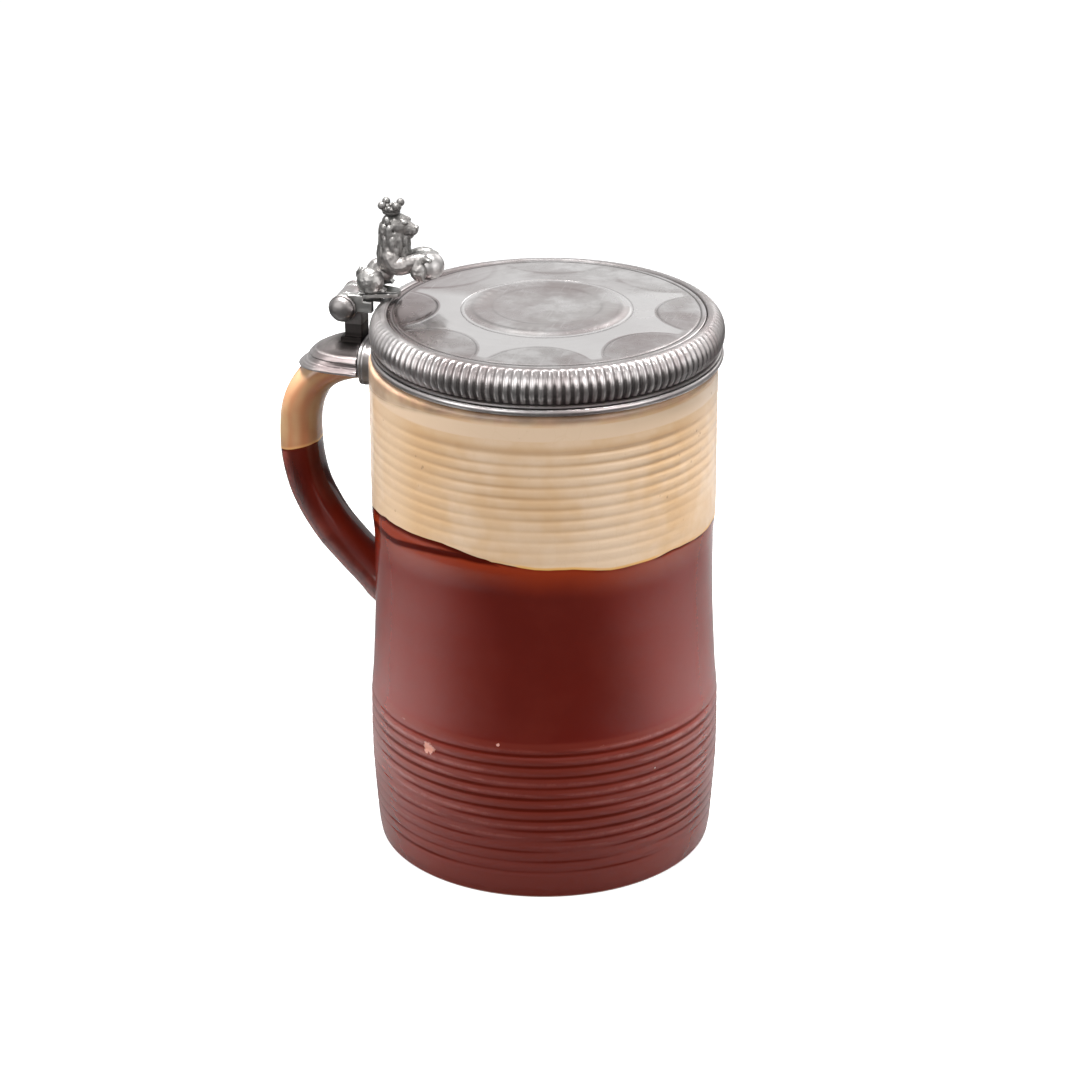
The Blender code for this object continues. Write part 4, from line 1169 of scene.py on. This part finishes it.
def build_rosette(lid):
    """Worn rosette in two turned rings, in the middle of the lid."""
    angle = even_turns(480)
    edge = ROSETTE_HIGH.x - LID_X
    edge_z = dome(edge)
    r = np.linspace(0.8 * MM, edge - 0.35 * MM, 96)[:, None]
    petal = np.cos(angle * lid.petals / 2 + 0.4 * np.sin(r / (4 * MM))) ** 2
    inner = grows(r, 3, 6)
    inner = inner * (1 - smooth_step(r, 7 * MM + 6 * MM * petal, 11 * MM + 7 * MM * petal))
    boss = fades(r, 1.6, 3.4)
    rings = 0.5 * hill(r, 18.4 * MM, 1.2 * MM) + 0.35 * hill(r, 24.2 * MM, 1.4 * MM)
    leaf = np.cos(angle * 20) ** 2 * hill(r, 21.3 * MM, 1.5 * MM)
    wear = np.clip(0.5 + 0.6 * wander(angle + r * 120, 61, 6), 0.08, 1.0)
    height = 0.8 * inner * (0.4 + 0.6 * petal) * (0.4 + 0.6 * wear) + 0.7 * boss
    height = height + rings * (0.55 + 0.45 * wear) + 0.7 * leaf * wear
    top = ROSETTE_HIGH.z - 0.35 * MM + lid.relief * height
    top = edge_z + (top - edge_z) * (1 - smooth_step(r, edge - 4.5 * MM, edge - 0.1 * MM))
    rim_r = column(1.0 * MM, edge + 0.06 * MM, edge + 0.06 * MM, edge - 0.1 * MM)
    rim_z = column(ROSETTE_LOW.z, ROSETTE_LOW.z, edge_z - 0.08 * MM, edge_z)
    radii, tops = ring_rows(len(angle), [(rim_r, rim_z), (r[::-1], top[::-1])])
    obj = turned("lid_rosette", radii, tops, LID_X)
    mark_hollows(obj, 20, 0.3 * MM)
    ring = hill(radii, 23.4 * MM, 0.7 * MM) + 0.6 * hill(radii, 17.2 * MM, 0.5 * MM)
    ring = 0.5 * ring * np.clip(0.5 + 0.8 * wander(angle, 63, 6), 0.15, 1.0)
    mark(obj, "soot_and_shade", np.maximum(ring, 0.4 * smooth_step(radii, edge - 0.7 * MM, edge - 0.2 * MM)))
    return obj


# Thumbpiece


def at(inward, aside, up):
    """A point of the thumbpiece in millimetres inwards of the hinge, aside and above the tongue."""
    return Vector((HINGE.x + inward * MM, aside * MM, LION_LOW.z + up * MM))


def limb(stops, radii):
    """A round limb past the stops, with its bends eased."""
    line = np.column_stack([stops, radii])
    for _ in range(2):
        eased = [line[0]]
        for one, two in zip(line, line[1:]):
            eased += [(two + 3 * one) / 4, (one + 3 * two) / 4]
        line = np.array([*eased, line[-1]])
    return tube([at(*stop[:3]) for stop in line], line[:, 3] * MM)


def lump(inward, aside, up, half_sizes, lean=0.0):
    """A rounded lump of the thumbpiece, with its sizes in millimetres."""
    return egg(at(inward, aside, up), [h * MM for h in half_sizes], lean)


def build_leaf(figure):
    """The lid's half of the hinge: a tongue under the figure, two knuckles and a bracket to the rim."""
    top = LEAF_HIGH.z
    edge = ((4.6, 6.0), (7.5, 5.8), (10.0, 4.4), (13.0, 3.6), (15.6, 3.0), (16.8, 1.8), (17.3, 0.0))
    shapes = []
    for inset, low, high in ((0.0, 2.0, 0.6), (0.7, 1.2, 0.0)):
        side = [(HINGE.x + u * MM, max(w - inset, 0.0) * MM) for u, w in edge]
        outline = [(x, -y) for x, y in side] + side[-2::-1]
        shapes.append(slab(outline, top - low * MM, top - high * MM))
    for side in (-1, 1):
        y0, y1 = sorted((side * 4.0 * MM, side * 6.6 * MM))
        arm = oblong(HINGE.x, HINGE.x + 9.4 * MM, y0, y1)
        neck = oblong(HINGE.x + 1.5 * MM, HINGE.x + 6.5 * MM, y0, y1)
        shapes.append(knuckle(y0, y1))
        shapes.append(slab(arm, HINGE.z - 1.1 * MM, HINGE.z + 2.5 * MM))
        shapes.append(slab(neck, HINGE.z, top - 0.7 * MM))
    obj = cast("hinge_tongue", shapes, figure.grain, 4)
    roughen(obj, 0.1 * MM, 2.5 * MM, 12.0)
    mark_hollows(obj, 16, 0.4 * MM)
    return obj


def mane_locks(figure):
    """Rows of pointed locks that hang round the neck, the shoulders and the chest."""
    hang = ((0.82, 0), (0.9, 2.6), (0.93, 5.4))
    locks = []
    for row in range(figure.rows):
        share_up = row / max(figure.rows - 1, 1)
        up = 21.0 - 7.0 * share_up
        middle, half = 15.5 - 0.3 * share_up, 4.55 + 0.5 * share_up
        for k in range(figure.locks):
            turn = 2 * math.pi * (k + 0.5 * (row % 2)) / figure.locks
            if row == 0 and math.cos(turn) > 0.4:
                continue
            u, v = math.cos(turn), math.sin(turn)
            stops = [(middle + half * reach * u, half * reach * v, up - drop) for reach, drop in hang]
            locks.append(limb(stops, (1.15, 1.1, 0.5)))
    return locks


def build_lion(figure):
    """Seated lion with a mane, a face, a tail and its forepaws on the ball."""
    parts = [
        lump(11.6, 0, 5.4, (3.6, 3.8, 3.6)),
        limb([(14.3, 0, 9.2), (15.0, 0, 13.4), (15.4, 0, 17.4)], (4.7, 4.9, 4.8)),
        lump(17.2, 0, 12.0, (3.6, 4.2, 4.4), 12),
        lump(16.4, 0, 21.0, (4.2, 3.9, 4.0)),
        lump(14.8, 0, 21.7, (3.3, 3.3, 3.3)),
        limb([(18.2, 0, 20.8), (20.2, 0, 20.3), (21.4, 0, 20.0)], (2.7, 2.3, 1.9)),
        limb([(18.4, 0, 18.6), (20.7, 0, 18.2)], (1.8, 1.2)),
        lump(22.8, 0, 20.9, (0.75, 1.0, 0.65)),
    ]
    for side in (-1, 1):
        hind_leg = [(8.4, side * 5.0, 1.0), (10.0, side * 4.9, 0.9), (11.2, side * 4.6, 0.9)]
        upper_arm = [(15.2, side * 3.2, 11.4), (17.0, side * 3.7, 8.6), (20.2, side * 3.8, 9.3)]
        forearm = [(20.2, side * 3.8, 9.3), (23.3, side * 3.6, 11.1), (25.8, side * 3.2, 11.7)]
        parts += [
            lump(19.1, side * 1.65, 22.9, (1.4, 1.1, 0.8), 15),
            lump(20.3, side * 1.15, 19.6, (1.6, 1.0, 1.0)),
            lump(14.4, side * 3.5, 23.2, (0.95, 0.85, 1.5), -15),
            lump(8.7, side * 4.8, 3.4, (4.4, 3.3, 4.5), -15),
            limb(hind_leg, (1.4, 1.2, 1.1)),
            lump(11.6, side * 4.4, 0.9, (1.6, 1.4, 1.0)),
            limb(upper_arm, (3.2, 3.1, 2.8)),
            limb(forearm, (2.8, 2.4, 1.65)),
            lump(24.7, side * 4.9, 7.9, (2.7, 2.1, 3.0), 12),
            limb([(24.2, side * 4.1, 10.8), (24.6, side * 4.8, 8.2)], (1.9, 2.0)),
        ]
        for toe in (-0.85, 0.0, 0.85):
            upper_paw = [(26.0, side * 3.3 + toe * 0.7, 12.0), (28.1, side * 3.2 + toe, 11.4)]
            lower_paw = [(24.9 + toe, side * 6.3, 7.6), (25.5 + toe * 1.2, side * 5.8, 5.6)]
            hind_paw = [(11.9, side * 4.4 + toe, 1.2), (13.2, side * 4.4 + toe * 1.15, 0.7)]
            parts += [limb(upper_paw, (0.75, 0.6)), limb(lower_paw, (0.8, 0.65)), limb(hind_paw, (0.6, 0.5))]
    tail = [(6.8, 0.5, 1.6), (4.8, -0.8, 2.4), (4.0, -2.6, 4.2)]
    tail += [(4.8, -4.2, 5.8), (5.8, -4.8, 7.0), (5.4, -4.7, 8.4)]
    parts.append(limb(tail, (1.1, 0.85, 0.8, 0.95, 1.0, 0.25)))
    obj = cast("lion_figure", parts + mane_locks(figure), figure.grain, 6)
    roughen(obj, 0.12 * MM, 1.5 * MM, 15.0)
    roughen(obj, 0.05 * MM, 0.7 * MM, 18.0)
    mark_hollows(obj, 16, 0.31 * MM)
    mark(obj, "soot_and_shade", 0.25 * smooth_step(places(obj)[2], LION_LOW.z + 8 * MM, LION_LOW.z + 14 * MM))
    return obj


def build_crown(figure):
    """Open crown with a beaded band and pearls on its prongs."""
    middle = (CROWN_LOW + CROWN_HIGH) / 2
    low, high = CROWN_LOW.z, CROWN_HIGH.z
    turns = even_turns(32)
    parts = []
    for r, z, thick in ((2.2, 0.45, 0.65), (2.4, 1.1, 0.5), (2.65, 1.7, 0.6)):
        ring = [(middle.x + r * MM * math.cos(a), r * MM * math.sin(a), low + z * MM) for a in turns]
        closed = ring + ring[:2]
        parts.append(tube(closed, [thick * MM] * len(closed)))
    parts.append(egg((middle.x, 0, low + 0.8 * MM), (2.4 * MM, 2.4 * MM, 0.8 * MM)))
    for k in range(figure.prongs):
        turn = 2 * math.pi * (k + 0.5) / figure.prongs
        ray = Vector((math.cos(turn), math.sin(turn), 0))
        foot = Vector((middle.x, 0, low + 1.5 * MM)) + ray * 2.4 * MM
        tip = Vector((middle.x, 0, high - 1.3 * MM)) + ray * 3.3 * MM
        parts.append(tube([foot, (foot + tip) / 2 + ray * 0.1 * MM, tip], [0.95 * MM, 0.75 * MM, 0.9 * MM]))
        parts.append(egg(tip, [1.3 * MM] * 3))
        between = turn + math.pi / figure.prongs
        pearl = (middle.x + 2.6 * MM * math.cos(between), 2.6 * MM * math.sin(between), low + 2.1 * MM)
        parts.append(egg(pearl, [0.7 * MM] * 3))
    obj = cast("lion_crown_prongs", parts, 0.13 * MM, 2)
    mark_hollows(obj, 10, 0.2 * MM)
    mark_all(obj, "soot_and_shade", 0.4)
    return obj


def build_ball():
    """Ball that the lion holds, with a seam left by the mould and small dents."""
    middle = (BALL_LOW + BALL_HIGH) / 2
    radius = (BALL_HIGH.z - BALL_LOW.z) / 2
    points, faces = egg(middle, [radius] * 3, steps=96)
    obj = piece("lion_ball_held", points, faces)
    for vertex in obj.data.vertices:
        ray = (vertex.co - middle).normalized()
        seam = math.exp(-((ray.x * 0.9 + ray.z * 0.3) / 0.05) ** 2)
        dent = noise.noise(ray * 2.2) * 0.012 + noise.noise(ray * 5.0) * 0.005
        vertex.co = middle + ray * radius * (0.985 + 0.008 * seam + dent)
    obj.data.update()
    mark_hollows(obj, 14, 0.3 * MM)
    return obj


# Stage


def build_floor(stage):
    """Pale floor that looks evenly lit to the camera."""
    half = stage.floor_size / 2
    steps = 24
    ends = np.linspace(-half, half, steps)
    x, y = np.meshgrid(ends, ends)
    points = np.stack([x, y, np.zeros_like(x)], -1).reshape(-1, 3)
    corners = [r * steps + c for r in range(steps - 1) for c in range(steps - 1)]
    faces = [(k, k + 1, k + steps + 1, k + steps) for k in corners]
    floor = piece("studio_floor", points, faces)
    material, wires = new_material("studio_floor_paint")
    plain = wires.add("BsdfDiffuse", {"Color": (0.12, 0.12, 0.12, 1.0)})
    shaded = wires.add("BsdfDiffuse", {"Color": (0.22, 0.22, 0.22, 1.0)})
    lit = wires.add("Emission", {"Color": (1.0, 1.0, 1.0, 1.0), "Strength": 0.92})
    seen = wires.add("AddShader", {0: lit, 1: shaded})
    ray = wires.add("LightPath", out=0)
    wires.surface(wires.add("MixShader", {0: ray, 1: plain, 2: seen}))
    floor.data.materials.append(material)


def softbox(name, place, target, size, watts):
    """A soft rectangular lamp that faces the target."""
    lamp = bpy.data.lights.new(name, "AREA")
    lamp.shape = "RECTANGLE"
    lamp.size, lamp.size_y = size
    lamp.energy = watts
    obj = bpy.data.objects.new(name, lamp)
    obj.location = place
    obj.rotation_euler = (Vector(target) - Vector(place)).to_track_quat("-Z", "Y").to_euler()
    bpy.context.scene.collection.objects.link(obj)
    return lamp


def build_stage(stage):
    """Camera, soft lamps, white room and pale floor."""
    scene = bpy.context.scene
    right = Vector((math.cos(FRONT), math.sin(FRONT), 0))
    back = Vector((math.sin(FRONT), -math.cos(FRONT), 0))
    camera = bpy.data.objects.new("camera", bpy.data.cameras.new("camera"))
    camera.data.lens = stage.lens
    camera.data.sensor_width = 36.0
    camera.data.clip_start = 0.05
    camera.data.clip_end = 50.0
    turn = Matrix.Rotation(FRONT, 4, "Z") @ Matrix.Rotation(math.pi / 2 - stage.pitch, 4, "X")
    place = back * stage.distance + right * stage.aside + Vector((0, 0, stage.height))
    camera.matrix_world = Matrix.Translation(place) @ turn @ Matrix.Rotation(stage.roll, 4, "Z")
    scene.collection.objects.link(camera)
    scene.camera = camera
    aim = (0, 0, 0.1)
    up = Vector((0, 0, 1))
    before = math.radians(45)
    for side, word, part in ((-1, "left", 0.92), (1, "right", 0.74)):
        turn = before * side
        ray = back * math.cos(turn) + right * math.sin(turn)
        softbox(f"lamp_{word}", ray * 0.95 + up * 0.46, aim, (0.8, 0.6), stage.key_power * part)
        place = right * side * 0.16 + back * 0.02
        wash = softbox(f"wash_{word}", place + up * 0.4, place, (0.2, 0.2), stage.wash_power)
        wash.spread = math.radians(36)
    place = -back * 0.34
    back_share = 4.5
    wash = softbox("wash_back", place + up * 0.45, place, (1.1, 0.2), stage.wash_power * back_share)
    wash.spread = math.radians(50)
    softbox("lamp_top", -back * 0.1 + up * 1.1, aim, (0.7, 0.5), stage.top_power)
    softbox("lamp_back", right * 0.8 - back * 1.0 + up * 0.9, aim, (0.8, 0.8), stage.back_power)
    build_floor(stage)
    world = bpy.data.worlds.new("studio_room")
    world.use_nodes = True
    scene.world = world
    wires = Wiring(world.node_tree)
    room = wires.add("Background", {"Color": (1.0, 1.0, 1.0, 1.0), "Strength": stage.ambient})
    white = wires.add("Background", {"Color": (1.0, 1.0, 1.0, 1.0), "Strength": 1.0})
    path = wires.add("LightPath").node
    seen_by = ("Is Camera Ray", "Is Transmission Ray", "Is Glossy Ray")
    show = wires.most(*(path.outputs[ray] for ray in seen_by))
    wires.add("OutputWorld", {"Surface": wires.add("MixShader", {0: show, 1: room, 2: white})})
    scene.view_settings.view_transform = "Standard"


# Operators


class TankardOperator:
    """What every operator of this add-on shares."""

    bl_options = {"REGISTER", "UNDO"}


class TANKARD_OT_pot(TankardOperator, bpy.types.Operator):
    """Build the thrown pot and glaze it"""

    bl_idname = "tankard.pot"
    bl_label = "Build Pot"

    def execute(self, context):
        sizes = context.scene.tankard
        tones = sizes.colours
        glaze = glaze_material("pot_glazes", tones, tones.cream_pale, tones.cream, tones.brown)
        seat(build_pot(sizes.pot), "mug", "pot_body", glaze)
        return {"FINISHED"}


class TANKARD_OT_handle(TankardOperator, bpy.types.Operator):
    """Build the pulled handle and glaze it"""

    bl_idname = "tankard.handle"
    bl_label = "Build Handle"

    def execute(self, context):
        sizes = context.scene.tankard
        tones = sizes.colours
        glazes = (tones.handle_pale, tones.handle_cream, tones.handle_brown)
        glaze = glaze_material("handle_glazes", tones, *glazes, glow=0.05)
        seat(build_handle(sizes.handle), "mug", "pulled_handle", glaze)
        return {"FINISHED"}


class TANKARD_OT_mounts(TankardOperator, bpy.types.Operator):
    """Build the pewter on the handle: root band, hood and hinge pin"""

    bl_idname = "tankard.mounts"
    bl_label = "Build Handle Mounts"

    def execute(self, context):
        sizes = context.scene.tankard
        tones = sizes.colours
        looks = {"rough": (0.28, 0.38), "bump": 0.06}
        metal = pewter_material("mount_pewter", tones, tones.pewter, tones.pewter_dull, **looks)
        seat(build_root_band(sizes.handle), "mug", "root_band", metal)
        seat(build_hood(sizes.handle), "mug", "handle_cap", metal)
        seat(build_pin(), "mug", "hinge_pin", metal)
        return {"FINISHED"}


class TANKARD_OT_lid(TankardOperator, bpy.types.Operator):
    """Build the turned pieces of the lid: plate, gadrooned rim and collar"""

    bl_idname = "tankard.lid"
    bl_label = "Build Lid"

    def execute(self, context):
        sizes = context.scene.tankard
        tones = sizes.colours
        plate = pewter_material("lid_pewter", tones, tones.lid, tones.lid_dull, rough=(0.17, 0.28), bump=0.03)
        rim = pewter_material("rim_pewter", tones, tones.rim, tones.rim_dull, rough=(0.3, 0.42))
        seat(build_plate(sizes.lid), "lid", "lid_plate", plate)
        seat(build_gadroons(sizes.lid), "lid", "gadroon_rim", rim)
        seat(build_collar(), "lid", "lid_collar", rim)
        return {"FINISHED"}


class TANKARD_OT_rosette(TankardOperator, bpy.types.Operator):
    """Build the worn rosette in the middle of the lid"""

    bl_idname = "tankard.rosette"
    bl_label = "Build Rosette"

    def execute(self, context):
        sizes = context.scene.tankard
        tones = sizes.colours
        metal = pewter_material("rosette_pewter", tones, tones.lid, tones.lid_dull, rough=(0.26, 0.4))
        seat(build_rosette(sizes.lid), "lid", "lid_medallion", metal)
        return {"FINISHED"}


class TANKARD_OT_thumbpiece(TankardOperator, bpy.types.Operator):
    """Build the cast thumbpiece: hinge leaf, lion, crown and ball"""

    bl_idname = "tankard.thumbpiece"
    bl_label = "Build Thumbpiece"

    def execute(self, context):
        sizes = context.scene.tankard
        tones = sizes.colours
        looks = {"rough": (0.36, 0.48), "stained": 0.2, "bump": 0.2}
        metal = pewter_material("cast_pewter", tones, tones.figure, tones.figure_dull, **looks)
        seat(build_leaf(sizes.figure), "lid", "hinge_leaf", metal)
        seat(build_lion(sizes.figure), "lid", "lion", metal)
        seat(build_crown(sizes.figure), "lid", "lion_crown", metal)
        looks = {"rough": (0.34, 0.44), "stained": 0.2}
        bright = pewter_material("ball_pewter", tones, tones.pewter, tones.figure, **looks)
        seat(build_ball(), "lid", "lion_ball", bright)
        return {"FINISHED"}


class TANKARD_OT_stage(TankardOperator, bpy.types.Operator):
    """Set up the camera, the lamps and the floor"""

    bl_idname = "tankard.stage"
    bl_label = "Set Stage"

    def execute(self, context):
        build_stage(context.scene.tankard.stage)
        return {"FINISHED"}


class TANKARD_PT_panel(bpy.types.Panel):
    """Sizes and colours of the tankard, with a button for each group of pieces"""

    bl_label = "Tankard"
    bl_idname = "TANKARD_PT_panel"
    bl_space_type = "VIEW_3D"
    bl_region_type = "UI"
    bl_category = "Tankard"

    def draw(self, context):
        sizes = context.scene.tankard
        for name in ("pot", "handle", "lid", "figure", "colours", "stage"):
            box = self.layout.box()
            box.label(text=name.capitalize())
            group = getattr(sizes, name)
            for key in group.__annotations__:
                box.prop(group, key)
        for operator in OPERATORS:
            self.layout.operator(operator.bl_idname)


GROUPS = (
    TANKARD_PG_pot,
    TANKARD_PG_handle,
    TANKARD_PG_lid,
    TANKARD_PG_figure,
    TANKARD_PG_colours,
    TANKARD_PG_stage,
    TANKARD_PG_all,
)
OPERATORS = (
    TANKARD_OT_pot,
    TANKARD_OT_handle,
    TANKARD_OT_mounts,
    TANKARD_OT_lid,
    TANKARD_OT_rosette,
    TANKARD_OT_thumbpiece,
    TANKARD_OT_stage,
)
CLASSES = (*GROUPS, *OPERATORS, TANKARD_PT_panel)


def register():
    """Adds the add-on's classes and its sizes to Blender."""
    for one in CLASSES:
        bpy.utils.register_class(one)
    bpy.types.Scene.tankard = PointerProperty(type=TANKARD_PG_all)


def unregister():
    """Takes them out again."""
    del bpy.types.Scene.tankard
    for one in reversed(CLASSES):
        bpy.utils.unregister_class(one)


def main():
    """Builds every piece and the stage."""
    register()
    bpy.ops.tankard.pot()
    bpy.ops.tankard.handle()
    bpy.ops.tankard.mounts()
    bpy.ops.tankard.lid()
    bpy.ops.tankard.rosette()
    bpy.ops.tankard.thumbpiece()
    bpy.ops.tankard.stage()


if __name__ == "__main__":
    main()
